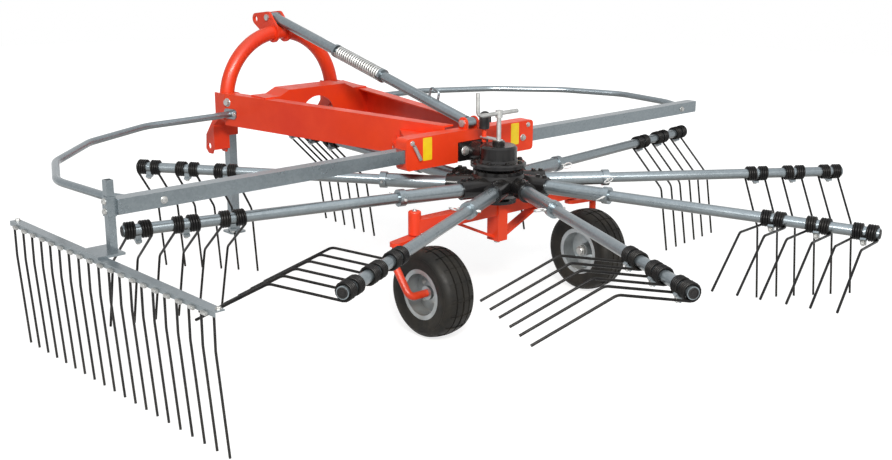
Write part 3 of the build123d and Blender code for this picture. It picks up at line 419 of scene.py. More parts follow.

# %% [markdown]
# Tubes, arms and the curtain's bar are galvanised: grey metal with crystals, cooler where it is clean and browner where
# dust has stuck. A full metal would only mirror the white surroundings, so part of the surface scatters light, as the
# oxide on old zinc does, and painted shade on the faces that look down gives round tubes their dark side.

# %% galvanised steel
tree, shader = new_finish("galvanised")
crystals = effect(tree, zinc_group, Crystal_scale=140.0)
colour = blend(tree, ramp(tree, crystals["Tone"], 0.10, 0.90), (0.165, 0.196, 0.216), (0.245, 0.280, 0.300))
colour, dusty = dusted(tree, colour, amount=0.06, scale=11.0, height=0.40)
# Painted shade: faces that look down are darkened to a dark brown that stands in for shade and the ground's reflection.
colour = blend(tree, effect(tree, underside_shade_group, Amount=0.80)["Mask"], colour, (0.085, 0.078, 0.066))
rough = calc(tree, "ADD", crystals["Dullness"], calc(tree, "MULTIPLY", dusty, 0.3))
fill(tree, shader, Base_Color=colour, Roughness=rough, Metallic=0.70)
bump(tree, shader, 150.0, 3.0, strength=0.04, distance=0.0004)
print("galvanised steel", len(tree.nodes), "nodes")

# %% [markdown]
# Pins, bolts, the crank and the spring are zinc plated: brighter and smoother than dipped steel, and without crystals.
# The pieces are small, so the noise is fine enough to change within one bolt head.

# %% zinc plating
tree, shader = new_finish("zinc")
colour = mottled(tree, 35.0, 6.0, (0.34, 0.34, 0.33), (0.45, 0.455, 0.45))
colour, _ = dusted(tree, colour, amount=0.12, scale=25.0, height=0.35)
fill(tree, shader, Base_Color=colour, Roughness=drift(tree, 60.0, 4.0, 0.32, 0.48), Metallic=0.75)
print("zinc plating", len(tree.nodes), "nodes")

# %% [markdown]
# The gearbox and the hub are rough castings under black gloss paint. A fine grain shows through the paint, and raised
# edges shine with bare iron. The base stays nearly black, because on such a casting the gloss is what shows the form.

# %% black paint on castings
tree, shader = new_finish("black_paint")
colour = mottled(tree, 9.0, 6.0, (0.006, 0.006, 0.007), (0.016, 0.015, 0.015), 0.3, 0.7)
colour, dusty = dusted(tree, colour, amount=0.14, scale=14.0, height=0.40, dust=DARK_DUST)
colour = worn_through(tree, colour, width=0.0025, amount=0.55, bare=(0.22, 0.21, 0.20))
rough = calc(tree, "ADD", drift(tree, 40.0, 5.0, 0.15, 0.28), calc(tree, "MULTIPLY", dusty, 0.5))
fill(tree, shader, Base_Color=colour, Roughness=rough, Specular_IOR_Level=0.24)
bump(tree, shader, 260.0, 4.0, strength=0.08, distance=0.0005)
print("black paint", len(tree.nodes), "nodes")

# %% [markdown]
# Tines are hardened spring wire, blued to black. Hay polishes the lower half of each leg, so the wire gets a little
# brighter and browner towards the ground. The height above the ground drives that change, broken up by noise.

# %% spring steel
tree, shader = new_finish("spring_steel")
near_tips = ramp(tree, upward(tree, "ShaderNodeTexCoord", "Object"), 0.30, 0.02)
polished = calc(tree, "MULTIPLY", near_tips, ramp(tree, noise(tree, 30.0, 6.0), 0.4, 0.7))
colour = mottled(tree, 18.0, 6.0, (0.006, 0.006, 0.007), (0.016, 0.015, 0.014))
colour = blend(tree, polished, colour, (0.040, 0.034, 0.027))
fill(tree, shader, Base_Color=colour, Roughness=drift(tree, 90.0, 4.0, 0.30, 0.46), Specular_IOR_Level=0.10)
print("spring steel", len(tree.nodes), "nodes")

# %% [markdown]
# Caps and plugs are moulded in black plastic. It is told from painted iron by its fine leathery grain and its softer
# gloss, so the bump is small and close, and dust stays in it.

# %% black plastic
tree, shader = new_finish("black_plastic")
colour = mottled(tree, 25.0, 5.0, (0.008, 0.008, 0.009), (0.018, 0.017, 0.017))
colour, _ = dusted(tree, colour, amount=0.40, scale=20.0, height=0.40, dust=DARK_DUST)
fill(tree, shader, Base_Color=colour, Roughness=drift(tree, 120.0, 3.0, 0.36, 0.55), Specular_IOR_Level=0.25)
bump(tree, shader, 900.0, 2.0, strength=0.15, distance=0.0003)
print("black plastic", len(tree.nodes), "nodes")

# %% [markdown]
# Rubber is a dark warm grey that turns black only in the grooves. Dry soil stays on the tread and fades it towards
# brown, more so near the ground, which the dust group's splash height takes care of.

# %% tyre rubber
tree, shader = new_finish("tyre")
colour = mottled(tree, 12.0, 7.0, (0.007, 0.007, 0.007), (0.018, 0.017, 0.015), 0.3, 0.7)
colour, _ = dusted(tree, colour, amount=0.32, scale=16.0, height=0.36, dust=(0.100, 0.082, 0.058))
fill(tree, shader, Base_Color=colour, Roughness=drift(tree, 45.0, 5.0, 0.46, 0.66), Specular_IOR_Level=0.15)
bump(tree, shader, 520.0, 3.0, strength=0.20, distance=0.0005)
print("tyre rubber", len(tree.nodes), "nodes")

# %% [markdown]
# The rims are pressed steel with silver paint. Metal flakes in the paint reflect much as metal does, so the shader is
# mostly metallic, and rust shows brown where the flange's edge is rubbed.

# %% silver rims
tree, shader = new_finish("rim_silver")
colour = mottled(tree, 16.0, 6.0, (0.25, 0.275, 0.29), (0.37, 0.395, 0.41))
colour, _ = dusted(tree, colour, amount=0.35, scale=18.0, height=0.40)
colour = worn_through(tree, colour, width=0.002, amount=0.6, bare=(0.24, 0.19, 0.15))
fill(tree, shader, Base_Color=colour, Roughness=drift(tree, 50.0, 4.0, 0.28, 0.46), Metallic=0.75)
print("silver rims", len(tree.nodes), "nodes")

# %% [markdown]
# The two patches on the cross head are yellow film: an even, saturated colour that the sun has bleached in places, with
# the soft gloss of vinyl.

# %% yellow film
tree, shader = new_finish("yellow_film")
colour = mottled(tree, 30.0, 5.0, (0.95, 0.68, 0.006), (0.90, 0.58, 0.005))
colour, _ = dusted(tree, colour, amount=0.25, scale=30.0, height=0.40)
fill(tree, shader, Base_Color=colour, Roughness=drift(tree, 80.0, 3.0, 0.30, 0.42))
print("yellow film", len(tree.nodes), "nodes")

# %% [markdown]
# The record names a slot for every node, so the finishes are handed out by reading it and not by a list that could
# go out of date. The strut's upper tube was dipped like the lower one, so it gets the galvanised look.

# %% finish every node
for subpart in frame["record"]["subparts"]:
    node = nodes[subpart["node"]]
    node.data.materials.clear()
    node.data.materials.append(finishes[subpart["material_slot"]])
nodes["strut_rod"].data.materials[0] = finishes["galvanised"]

# %% [markdown]
# ## Tools for modelling
# New pieces are shaped by hand in edit mode. Operators act on whatever is selected, so each step first picks its
# points or faces by where they are. A finished piece keeps its place in its mesh, with its object at the origin.
# Pieces that repeat are shaped once near the origin, stamped at each place and joined.

# %% helpers for picking


def deselect():
    """Leaves nothing selected, so that the next operator acts on its own piece alone."""
    bpy.ops.object.select_all(action="DESELECT")


def begin(name, finish):
    """Takes over the primitive just added, puts its place in its mesh and gives it a finish."""
    piece = bpy.context.active_object
    piece.name = piece.data.name = name
    bpy.ops.object.transform_apply(location=True, rotation=True, scale=True)
    piece.data.materials.append(finishes[finish])
    return piece


def edit(piece):
    """Opens a piece in edit mode."""
    deselect()
    piece.select_set(True)
    bpy.context.view_layer.objects.active = piece
    bpy.ops.object.mode_set(mode="EDIT")


def pick_points(piece, rule):
    """Selects the points for which the rule holds; the rule is given the point."""
    bpy.ops.mesh.select_mode(type="VERT")
    bpy.ops.mesh.select_all(action="DESELECT")
    shape = bmesh.from_edit_mesh(piece.data)
    for point in shape.verts:
        point.select = rule(point)
    shape.select_flush(True)
    bmesh.update_edit_mesh(piece.data)


def pick_faces(piece, rule):
    """Selects the faces for which the rule holds; the rule is given a face's middle and normal."""
    bpy.ops.mesh.select_mode(type="FACE")
    bpy.ops.mesh.select_all(action="DESELECT")
    shape = bmesh.from_edit_mesh(piece.data)
    for face in shape.faces:
        face.select_set(rule(face.calc_center_median(), face.normal))
    bmesh.update_edit_mesh(piece.data)


print("helpers for picking points and faces")

# %% helpers for shaping
SEAM = 0.00002                         # points nearer than this become one


def draw_out(way):
    """Extrudes what is picked along a way."""
    bpy.ops.mesh.extrude_region_move(TRANSFORM_OT_translate={"value": tuple(way)})


def bend(degrees, centre, axis, steps):
    """Spins the picked ring on; the operator turns clockwise, so the angle is given with a minus."""
    bpy.ops.mesh.spin(steps=steps, angle=-math.radians(degrees), center=tuple(centre), axis=tuple(axis))


def apply_modifier(piece, kind, **settings):
    """Adds a modifier with its settings and makes its result the piece's own mesh."""
    deselect()
    piece.select_set(True)
    bpy.context.view_layer.objects.active = piece
    modifier = piece.modifiers.new(kind.lower(), kind)
    for setting, value in settings.items():
        setattr(modifier, setting, value)
    bpy.ops.object.modifier_apply(modifier=modifier.name)


def finish_shape(piece, crease):
    """Closes the seams, turns the faces outwards and smooths all folds of less than the crease, in degrees."""
    if bpy.context.mode != "EDIT_MESH":
        edit(piece)
    bpy.ops.mesh.select_all(action="SELECT")
    bpy.ops.mesh.remove_doubles(threshold=SEAM)
    bpy.ops.mesh.normals_make_consistent(inside=False)
    bpy.ops.object.mode_set(mode="OBJECT")
    bpy.ops.object.shade_smooth_by_angle(angle=math.radians(crease))


print("helpers for shaping")

# %% [markdown]
# ## Double tines
# A double tine is one length of spring wire: two coils of nearly four turns sit on the arm, joined by a short bar that
# the clamp holds, and from each coil a leg runs down and bends once. A curve with a bevel would give the wire at once,
# but its coils and bends are easier to size as a ring of points, wound by a Screw modifier and then drawn out and spun
# on. One half is made, mirrored, and stamped three times on each of the nine arms. In the wire's own frame x leads in
# the rotor's turn, y is up and z points out along the arm.

# %% sizes of a double tine
WIRE_R, WIRE_SIDES = 0.0045, 8
COIL_R = 0.0259
LEG_GAP = 0.084
COIL_RUN = 0.033                       # from the leg's turn to the innermost turn
UPPER_SLANT, LOWER_SLANT = 44.5, 9.0   # degrees off plumb
UPPER_RUN, LOWER_RUN = 0.2232, 0.2712  # straight lengths before and after the bend
LEG_BEND_R = 0.040
BRIDGE_AT = -108.0                     # where the coil ends and the bridge to the other coil starts
BRIDGE_BEND_R = 0.008
BEND_STEPS = 5
COIL_TURN = 3 * 360 + 360 + BRIDGE_AT + UPPER_SLANT
COIL_STEPS = 60
print("coil of", round(COIL_TURN / 360, 2), "turns")

# %% wind one coil
deselect()
bpy.ops.mesh.primitive_circle_add(
    vertices=WIRE_SIDES, radius=WIRE_R, location=(COIL_R, 0, LEG_GAP / 2), rotation=(math.pi / 2, 0, 0)
)
tine = begin("double_tine", "spring_steel")
edit(tine)
bpy.ops.mesh.select_all(action="SELECT")
bpy.ops.transform.rotate(value=math.radians(UPPER_SLANT), orient_axis="Z", center_override=(0, 0, 0))
bpy.ops.object.mode_set(mode="OBJECT")
apply_modifier(tine, "SCREW", axis="Z", angle=math.radians(COIL_TURN), screw_offset=-COIL_RUN,
               steps=COIL_STEPS, render_steps=COIL_STEPS, use_merge_vertices=False)
print("coil", len(tine.data.polygons), "faces")

# %% [markdown]
# The coil has two open ends. The inner one is bent square to the coil and drawn as far as the middle, where the mirror
# will meet it. The outer one becomes the leg: straight, one bend, straight, and a face to close the tip.

# %% bridge to the other coil
coil_half = LEG_GAP / 2 - COIL_RUN / 2
angle = math.radians(BRIDGE_AT)
coil_end = Vector((COIL_R * math.cos(angle), COIL_R * math.sin(angle), LEG_GAP / 2 - COIL_RUN))
heading = Vector((-math.sin(angle), math.cos(angle), 0))
edit(tine)
pick_points(tine, lambda point: point.is_boundary and point.co.z < coil_half)
bend(90, coil_end - UP * BRIDGE_BEND_R, heading.cross(-UP), BEND_STEPS)
draw_out(-UP * (coil_end.z - BRIDGE_BEND_R))
print("bridge of", round(2 * coil_end.z, 4), "m between the coils")

# %% leg
slant = math.radians(UPPER_SLANT)
leg_way = Vector((-math.sin(slant), -math.cos(slant), 0))
leg_end = Vector((COIL_R * math.cos(slant), -COIL_R * math.sin(slant), LEG_GAP / 2)) + leg_way * UPPER_RUN
slant = math.radians(LOWER_SLANT)
tip_way = Vector((-math.sin(slant), -math.cos(slant), 0))
pick_points(tine, lambda point: point.is_boundary and point.co.z > coil_half)
draw_out(leg_way * UPPER_RUN)
bend(UPPER_SLANT - LOWER_SLANT, leg_end + UP.cross(leg_way) * LEG_BEND_R, UP, BEND_STEPS)
draw_out(tip_way * LOWER_RUN)
bpy.ops.mesh.edge_face_add()
bpy.ops.object.mode_set(mode="OBJECT")
print("leg of", round(UPPER_RUN + LOWER_RUN, 4), "m and a bend")

# %% second half of the tine
apply_modifier(tine, "MIRROR", use_axis=(False, False, True), merge_threshold=0.0002)
finish_shape(tine, 50)
print("double tine", len(tine.data.polygons), "faces")

# %% [markdown]
# ## Tines on the arms
# The cam under the hub turns each arm about its own length, so that the tines on the left and behind are lifted off
# the ground. A cam could drive the angles, but the solid model holds its arms still, so the list of angles follows the
# picture, arm by arm. The copies on one arm become one piece, which stands for that arm's plain solid tines.

# %% helpers for repeating a shape


def stamp(master, name, places):
    """Copies of a shape, each with its own mesh, joined into one piece."""
    copies = []
    for place in places:
        twin = master.copy()
        twin.data = master.data.copy()
        twin.data.transform(place)
        bpy.context.scene.collection.objects.link(twin)
        copies.append(twin)
    deselect()
    for twin in copies:
        twin.select_set(True)
    bpy.context.view_layer.objects.active = copies[0]
    if len(copies) > 1:
        bpy.ops.object.join()
    copies[0].name = copies[0].data.name = name
    return copies[0]


def hand_over(piece, body, slot, *stands_for):
    """Lets a piece move with its body and hides the nodes that it stands for; the slot is not used."""
    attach(piece, body)
    if stands_for:
        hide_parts(*stands_for)


def discard(master):
    """Takes a shape away once its copies are made."""
    bpy.data.objects.remove(master, do_unlink=True)


print("helpers for repeating a shape")

# %% nine sets of tines
ARM_FIRST, ARM_STEP = 86.3, 40.0
ARM_SET = 0.045                        # an arm passes the rotor's axis at this distance
ARM_Z = 0.490
ARM_ROLL = [0, 0, 12, 51, 56, 52, 0, 0, 0]
PAIR_REACH = [1.4008, 1.2408, 1.0808]


def arm_place(index, reach, roll=0.0):
    """Place on an arm: local x leads, y is up and z points out, turned by the cam."""
    bearing = math.radians(ARM_FIRST + index * ARM_STEP)
    out = Vector((math.cos(bearing), math.sin(bearing), 0))
    lead = UP.cross(out)
    turned = math.radians(roll)
    place = Matrix((
        lead * math.cos(turned) - UP * math.sin(turned), UP * math.cos(turned) + lead * math.sin(turned), out,
    )).transposed().to_4x4()
    place.translation = ROTOR + out * reach + lead * ARM_SET + UP * ARM_Z
    return place


for index, roll in enumerate(ARM_ROLL):
    tine_set = stamp(tine, f"wound_tines_{index + 1}", [arm_place(index, reach, roll) for reach in PAIR_REACH])
    hand_over(tine_set, "rotor", "spring_steel", f"tines_{index + 1}")
discard(tine)
print(len(ARM_ROLL), "sets of tines")

# %% [markdown]
# ## A bolt
# Most joints on the frame show a hexagon head on a washer. The head is a six-sided cylinder with its upper edges
# bevelled, the washer a thin disc with a bevelled rim, and both are kept to a few dozen faces because the shape repeats
# many times. A thread would never be seen. The bolt's own +Z points out of the surface that it is screwed into.

# %% one hexagon bolt
HEAD_R, HEAD_H, HEAD_SUNK = 0.0098, 0.0065, 0.001
WASHER_R, WASHER_T = 0.0125, 0.002
WASHER_EDGE, HEAD_EDGE = 0.0005, 0.0011

deselect()
bpy.ops.mesh.primitive_cylinder_add(vertices=16, radius=WASHER_R, depth=WASHER_T, location=(0, 0, WASHER_T / 2))
bolt = begin("hexagon_bolt", "zinc")
edit(bolt)
pick_faces(bolt, lambda middle, normal: normal.z > 0.9)
bpy.ops.mesh.bevel(offset=WASHER_EDGE, segments=1)
bpy.ops.mesh.select_all(action="DESELECT")
head_middle = WASHER_T + HEAD_H / 2
bpy.ops.mesh.primitive_cylinder_add(
    vertices=6, radius=HEAD_R, depth=HEAD_H + HEAD_SUNK, location=(0, 0, head_middle - HEAD_SUNK / 2)
)
pick_faces(bolt, lambda middle, normal: normal.z > 0.9 and middle.z > head_middle)
bpy.ops.mesh.bevel(offset=HEAD_EDGE, segments=2)
finish_shape(bolt, 30)
print("bolt", len(bolt.data.polygons), "faces")

# %% [markdown]
# ## Clamp bolts
# Every double tine is held on its arm by a bolt that looks down between the coils. Its place is given in the arm's own
# frame, so that it follows the arm's turn, and the same bolt is stamped a little smaller.

# %% clamp bolts under the arms
CLAMP_LEAD, CLAMP_DROP, CLAMP_SIZE = 0.012, -0.0384, 0.85


def facing(point, way, size=1.0):
    """Place of a shape whose own +Z shall point along way."""
    spin = Vector(way).to_track_quat("Z", "Y").to_matrix().to_4x4()
    return Matrix.Translation(Vector(point)) @ spin @ Matrix.Scale(size, 4)


def put_bolts(name, places, body, finish="zinc"):
    """Stamps the bolt at each place, as one piece that moves with a body."""
    piece = stamp(bolt, name, places)
    piece.data.materials[0] = finishes[finish]
    hand_over(piece, body, finish)
    print(len(places), name)


down = facing((CLAMP_LEAD, CLAMP_DROP, 0), (0, -1, 0), CLAMP_SIZE)
clamp_places = [
    arm_place(index, reach, roll) @ down for index, roll in enumerate(ARM_ROLL) for reach in PAIR_REACH
]
put_bolts("clamp_bolts", clamp_places, "rotor")

# %% [markdown]
# ## Plugs
# The arm's open end is closed by a plastic plug with stepped rings inside a bright rim of tube. A turned profile would
# do as well. Here the plug is a flat disc, and each ring is an inset of its face, sunk or raised.

# %% plugs in the ends of the arms
ARM_END = 1.4493
PLUG_R, PLUG_T, PLUG_SUNK, PLUG_EDGE = 0.0168, 0.003, 0.0002, 0.0008
PLUG_RINGS = ((0.0025, -0.0020), (0.0045, 0.0018), (0.0030, -0.0012))  # inset, then rise

deselect()
bpy.ops.mesh.primitive_cylinder_add(vertices=24, radius=PLUG_R, depth=PLUG_T, location=(0, 0, PLUG_T / 2))
plug = begin("arm_plug", "black_plastic")
edit(plug)
pick_faces(plug, lambda middle, normal: normal.z > 0.9)
bpy.ops.mesh.bevel(offset=PLUG_EDGE, segments=2)
for ring, rise in PLUG_RINGS:
    pick_faces(plug, lambda middle, normal: normal.z > 0.9 and middle.xy.length < 0.001)
    bpy.ops.mesh.inset(thickness=ring)
    draw_out(UP * rise)
finish_shape(plug, 30)
plug_places = [arm_place(index, ARM_END - PLUG_SUNK) for index in range(len(ARM_ROLL))]
hand_over(stamp(plug, "arm_plugs", plug_places), "rotor", "black_plastic")
discard(plug)
print(len(plug_places), "plugs")

# %% [markdown]
# ## Pins
# Each arm is kept in its stub by a pin with a spring ring, so that it can be taken off for the road. Pin and ring are a
# cylinder and a torus in one mesh. They lie level, because the arms pass closely between the beams above and below.

# %% spring pins through the stubs
STUB_PIN_AT = 0.441
COLLAR_R = 0.032
PIN_R, PIN_OVER, PIN_EDGE = 0.0055, 0.026, 0.0015  # over: what both ends stand out together
RING_R, RING_WIRE_R = 0.0175, 0.0025
RING_OFF, RING_TILT = 0.024, 60.0      # from the collar, and degrees about the pin

deselect()
bpy.ops.mesh.primitive_cylinder_add(vertices=12, radius=PIN_R, depth=2 * COLLAR_R + PIN_OVER,
                                    rotation=(0, math.pi / 2, 0))
spring_pin = begin("spring_pin", "zinc")
edit(spring_pin)
pick_faces(spring_pin, lambda middle, normal: abs(normal.x) > 0.9)
bpy.ops.mesh.bevel(offset=PIN_EDGE, segments=2)
bpy.ops.mesh.select_all(action="DESELECT")
bpy.ops.mesh.primitive_torus_add(
    major_radius=RING_R, minor_radius=RING_WIRE_R, major_segments=24, minor_segments=6,
    location=(-COLLAR_R - RING_OFF, 0, 0), rotation=(math.radians(RING_TILT), 0, 0),
)
finish_shape(spring_pin, 40)
pin_places = [arm_place(index, STUB_PIN_AT) for index in range(len(ARM_ROLL))]
hand_over(stamp(spring_pin, "stub_pins", pin_places), "rotor", "zinc")
discard(spring_pin)
print(len(pin_places), "spring pins")

# %% [markdown]
# ## Socket bolts
# Two bolts on top of each of the hub's sockets clamp the stub inside. They were painted together with the casting, so
# they get its black in place of the zinc.

# %% clamping bolts on the hub's sockets
SOCKET_R, SOCKET_REACH = 0.037, (0.150, 0.178)
SOCKET_BOLT_SUNK, SOCKET_BOLT_SIZE = 0.0006, 0.9
upright = facing((0, SOCKET_R - SOCKET_BOLT_SUNK, 0), (0, 1, 0), SOCKET_BOLT_SIZE)
socket_places = [arm_place(index, reach) @ upright for index in range(len(ARM_ROLL)) for reach in SOCKET_REACH]
put_bolts("socket_bolts", socket_places, "rotor", "black_paint")

# %% [markdown]
# ## Spring of the strut
# The strut between the headstock and the cross head carries a bright compression spring. The solid model has a plain
# sleeve there. Here a ring of points is wound once along the strut's line and its two ends are closed.

# %% wound spring
STRUT_FOOT = ROTOR + Vector((0, 0.168, 0.703))
STRUT_HEAD = ROTOR + Vector((0, 1.468, 1.004))
SPRING_FROM, SPRING_TO = 0.551, 0.849
SPRING_WIRE_R, SPRING_R, SPRING_TURNS = 0.0051, 0.0239, 20
SPRING_STEPS = 16 * SPRING_TURNS
strut_way = (STRUT_HEAD - STRUT_FOOT).normalized()

deselect()
bpy.ops.mesh.primitive_circle_add(
    vertices=WIRE_SIDES, radius=SPRING_WIRE_R, location=(SPRING_R, 0, SPRING_WIRE_R), rotation=(math.pi / 2, 0, 0)
)
spring = begin("wound_spring", "zinc")
apply_modifier(spring, "SCREW", axis="Z", angle=math.radians(360 * SPRING_TURNS), use_merge_vertices=False,
               screw_offset=SPRING_TO - SPRING_FROM - 2 * SPRING_WIRE_R, steps=SPRING_STEPS,
               render_steps=SPRING_STEPS)
edit(spring)
for lower in (True, False):
    pick_points(spring, lambda point: point.is_boundary and (point.co.z < 0.1) == lower)
    bpy.ops.mesh.edge_face_add()
finish_shape(spring, 50)
spring.data.transform(facing(STRUT_FOOT + strut_way * SPRING_FROM, strut_way))
hand_over(spring, "frame", "zinc", "strut_spring")
print("spring", len(spring.data.polygons), "faces")

# %% [markdown]
# ## Tyres
# The castor tyres are wide and low, with grooves round the tread and cuts across it. Their section is a closed loop of
# points, turned about the axle by a Screw modifier. It stays within the width and height of the solid tyre, but its
# walls lap over the rim's flange, as an inflated tyre's do.

# %% turn one tyre
HALF_SECTION = [                       # distance from the axle, and from the tyre's middle
    (0.1615, 0.0), (0.1615, 0.003), (0.1664, 0.004), (0.1648, 0.026), (0.1600, 0.027), (0.1600, 0.031),
    (0.1640, 0.032), (0.1600, 0.050), (0.1560, 0.0575), (0.1480, 0.0655), (0.1390, 0.0690), (0.1370, 0.0680),
    (0.1300, 0.0698), (0.1160, 0.0676), (0.1050, 0.0650), (0.0965, 0.0636), (0.0945, 0.0618), (0.0940, 0.0560),
    (0.0830, 0.0555),
]
TREAD_STEPS = 72
section = [(r, -x) for r, x in reversed(HALF_SECTION[1:])] + HALF_SECTION

deselect()
bpy.ops.mesh.primitive_circle_add(vertices=len(section), radius=0.1)
tyre = begin("ribbed_tyre", "tyre")
edit(tyre)
outline = bmesh.from_edit_mesh(tyre.data)
outline.verts.ensure_lookup_table()
for point, (radius, aside) in zip(outline.verts, section):
    point.co = (radius, 0, aside)
bmesh.update_edit_mesh(tyre.data)
bpy.ops.object.mode_set(mode="OBJECT")
apply_modifier(tyre, "SCREW", axis="Z", angle=math.radians(360), screw_offset=0.0, steps=TREAD_STEPS,
               render_steps=TREAD_STEPS, use_merge_vertices=True, merge_threshold=0.0001)
finish_shape(tyre, 40)
print("turned tyre", len(tyre.data.polygons), "faces")

# %% [markdown]
# The cuts are sunk into every fourth strip of faces round the tread. Subtracting blocks would cut them too, but sinking
# faces that are there already keeps the mesh even.

# %% cuts across the tread
GROOVE_R = 0.1615                      # faces further out than this are tread
CUT_EVERY, CUT_HALF_WIDTH, CUT_DEPTH = 4, 0.052, 0.0035


def sink(depth):
    """Extrudes the picked faces along their normals; a minus depth goes inwards."""
    bpy.ops.mesh.extrude_region_shrink_fatten(TRANSFORM_OT_shrink_fatten={"value": depth})


def in_cut(middle):
    """Whether a face lies on the tread, in a strip that is cut."""
    strip = math.degrees(math.atan2(middle.y, middle.x)) % 360 / (360 / TREAD_STEPS)
    return int(strip) % CUT_EVERY == 0 and GROOVE_R < middle.xy.length and abs(middle.z) < CUT_HALF_WIDTH


edit(tyre)
pick_faces(tyre, lambda middle, normal: in_cut(middle))
sink(-CUT_DEPTH)
finish_shape(tyre, 40)
print("tyre", len(tyre.data.polygons), "faces")

# %% both tyres
SIDES = ((-1, "left"), (1, "right"))
WHEEL_X, TRAIL, WHEEL_Z = 0.425, 0.101, 0.1665


def wheel_middle(side):
    """Point on the axle in the middle of a wheel."""
    return ROTOR + Vector((side * WHEEL_X, -TRAIL, WHEEL_Z))


for side, name in SIDES:
    ribbed = stamp(tyre, f"ribbed_tyre_{name}", [facing(wheel_middle(side), (side, 0, 0))])
    hand_over(ribbed, f"wheel_{name}", "tyre", f"tyre_{name}")
discard(tyre)
print("two tyres")

# %% [markdown]
# ## Rims
# The rim's dished disc carries four bolts. The disc slopes away from the axle, so each bolt leans outwards with it.

# %% rim bolts
RIM_BOLT_R, RIM_BOLT_OUT = 0.046, 0.0135  # from the axle, and out from the wheel's middle
DISC_SLOPE, RIM_BOLT_SIZE = 0.28, 0.75
for side, name in SIDES:
    rim_places = []
    for quarter in range(4):
        angle = math.radians(45 + 90 * quarter)
        spoke = Vector((0, math.cos(angle), math.sin(angle)))
        spot = wheel_middle(side) + spoke * RIM_BOLT_R + Vector((side * RIM_BOLT_OUT, 0, 0))
        rim_places.append(facing(spot, Vector((side, 0, 0)) + spoke * DISC_SLOPE, RIM_BOLT_SIZE))
    put_bolts(f"rim_bolts_{name}", rim_places, f"wheel_{name}")

# %% [markdown]
# ## Axle nuts
# A domed nut keeps each wheel on its axle. The hexagon and the dome are two cylinders in one mesh: the hexagon's rim is
# bevelled a little and the dome's rim a lot. The nut stays with the castor while the wheel turns.

# %% axle nuts
NUT_R, NUT_H, NUT_EDGE = 0.023, 0.012, 0.0016
DOME_R, DOME_H, DOME_EDGE = 0.0175, 0.021, 0.007
DOME_UP = 0.0005                       # keeps the two bottoms apart
NUT_AT = 0.034                         # from the wheel's middle, just clear of the rim's hub

deselect()
bpy.ops.mesh.primitive_cylinder_add(vertices=6, radius=NUT_R, depth=NUT_H, location=(0, 0, NUT_H / 2))
nut = begin("axle_nut", "zinc")
edit(nut)
pick_faces(nut, lambda middle, normal: normal.z > 0.9)
bpy.ops.mesh.bevel(offset=NUT_EDGE, segments=2)
bpy.ops.mesh.select_all(action="DESELECT")
bpy.ops.mesh.primitive_cylinder_add(vertices=20, radius=DOME_R, depth=DOME_H, location=(0, 0, DOME_H / 2 + DOME_UP))
pick_faces(nut, lambda middle, normal: normal.z > 0.9 and middle.z > (NUT_H + DOME_H) / 2)
bpy.ops.mesh.bevel(offset=DOME_EDGE, segments=4)
finish_shape(nut, 40)
for side, name in SIDES:
    end = wheel_middle(side) - Vector((side * NUT_AT, 0, 0))
    hand_over(stamp(nut, f"axle_nut_{name}", [facing(end, (-side, 0, 0))]), f"castor_{name}", "zinc")
print("axle nut", len(nut.data.polygons), "faces")
discard(nut)

# %% [markdown]
# ## Bolts on the gearbox
# The gearbox's cover is screwed down all round, except at the front where the drive comes in. The bolts were painted
# over with the casting, as on the hub.

# %% cover bolts
COVER_R, COVER_Z, COVER_BOLT_SIZE = 0.090, 0.579, 0.9
COVER_FIRST, COVER_STEP, COVER_COUNT = 157.5, 45, 6
cover_places = []
for step in range(COVER_COUNT):
    angle = math.radians(COVER_FIRST + COVER_STEP * step)
    spot = Vector((COVER_R * math.cos(angle), COVER_R * math.sin(angle), COVER_Z))
    cover_places.append(facing(ROTOR + spot, UP, COVER_BOLT_SIZE))
put_bolts("cover_bolts", cover_places, "frame", "black_paint")

# %% [markdown]
# ## Bolts on the frame
# These hold the beams' ends, the feet of the guard bows, both cross tubes and the stand, and close the castors'
# sleeves. They could be placed one by one, but most come in pairs, so one list gives the bolts on a main beam, one
# those that the right side shares with the left, and one the rest. Points are measured from the rotor's axis.

# %% lists of frame bolts
AHEAD = Vector((0, 1, 0))              # the way the tractor drives
FRAME_REAR, FRAME_FRONT = 0.205, 1.434
HALF_REAR, HALF_FRONT = 0.100, 0.336
LEAN = (HALF_FRONT - HALF_REAR) / (FRAME_FRONT - FRAME_REAR)
BEAM_BOLTS = (                         # y, z, depth inside the outer face, 1 out or -1 in, size
    (1.373, 0.658, 0.0, 1, 1.5), (1.373, 0.658, 0.006, -1, 1.5),
    (1.330, 0.610, -0.007, 1, 0.85), (1.378, 0.610, -0.007, 1, 0.85),
    (0.445, 0.580, 0.0, 1, 0.8),
)
PAIRED_BOLTS = (                       # point on the right side, the way it faces, size
    ((0.425, 0, 0.450), UP, 0.7),
    ((1.345, 0.150, 0.612), -AHEAD, 1.0),
    ((0.310, 0.145, 0.662), -AHEAD, 0.8),
)
LONE_BOLTS = (
    ((0.281, 0.145, 0.612), -AHEAD, 1.1),
    ((-0.048, 0.137, 0.601), -AHEAD, 1.5),
    ((0, 0, 0.264), -UP, 1.3),
    ((-0.185, 1.608, 0.545), AHEAD, 1.0),
)
print("beams lean out by", round(LEAN, 3))

# %% frame bolts


def beam_face(side, y, z, inset):
    """Point on a main beam, inside its outer face by the inset, and the way that the face looks."""
    away = Vector((side, -LEAN, 0)).normalized()
    half = HALF_REAR + LEAN * (y - FRAME_REAR)
    return Vector((side * half, y, z)) - away * inset, away


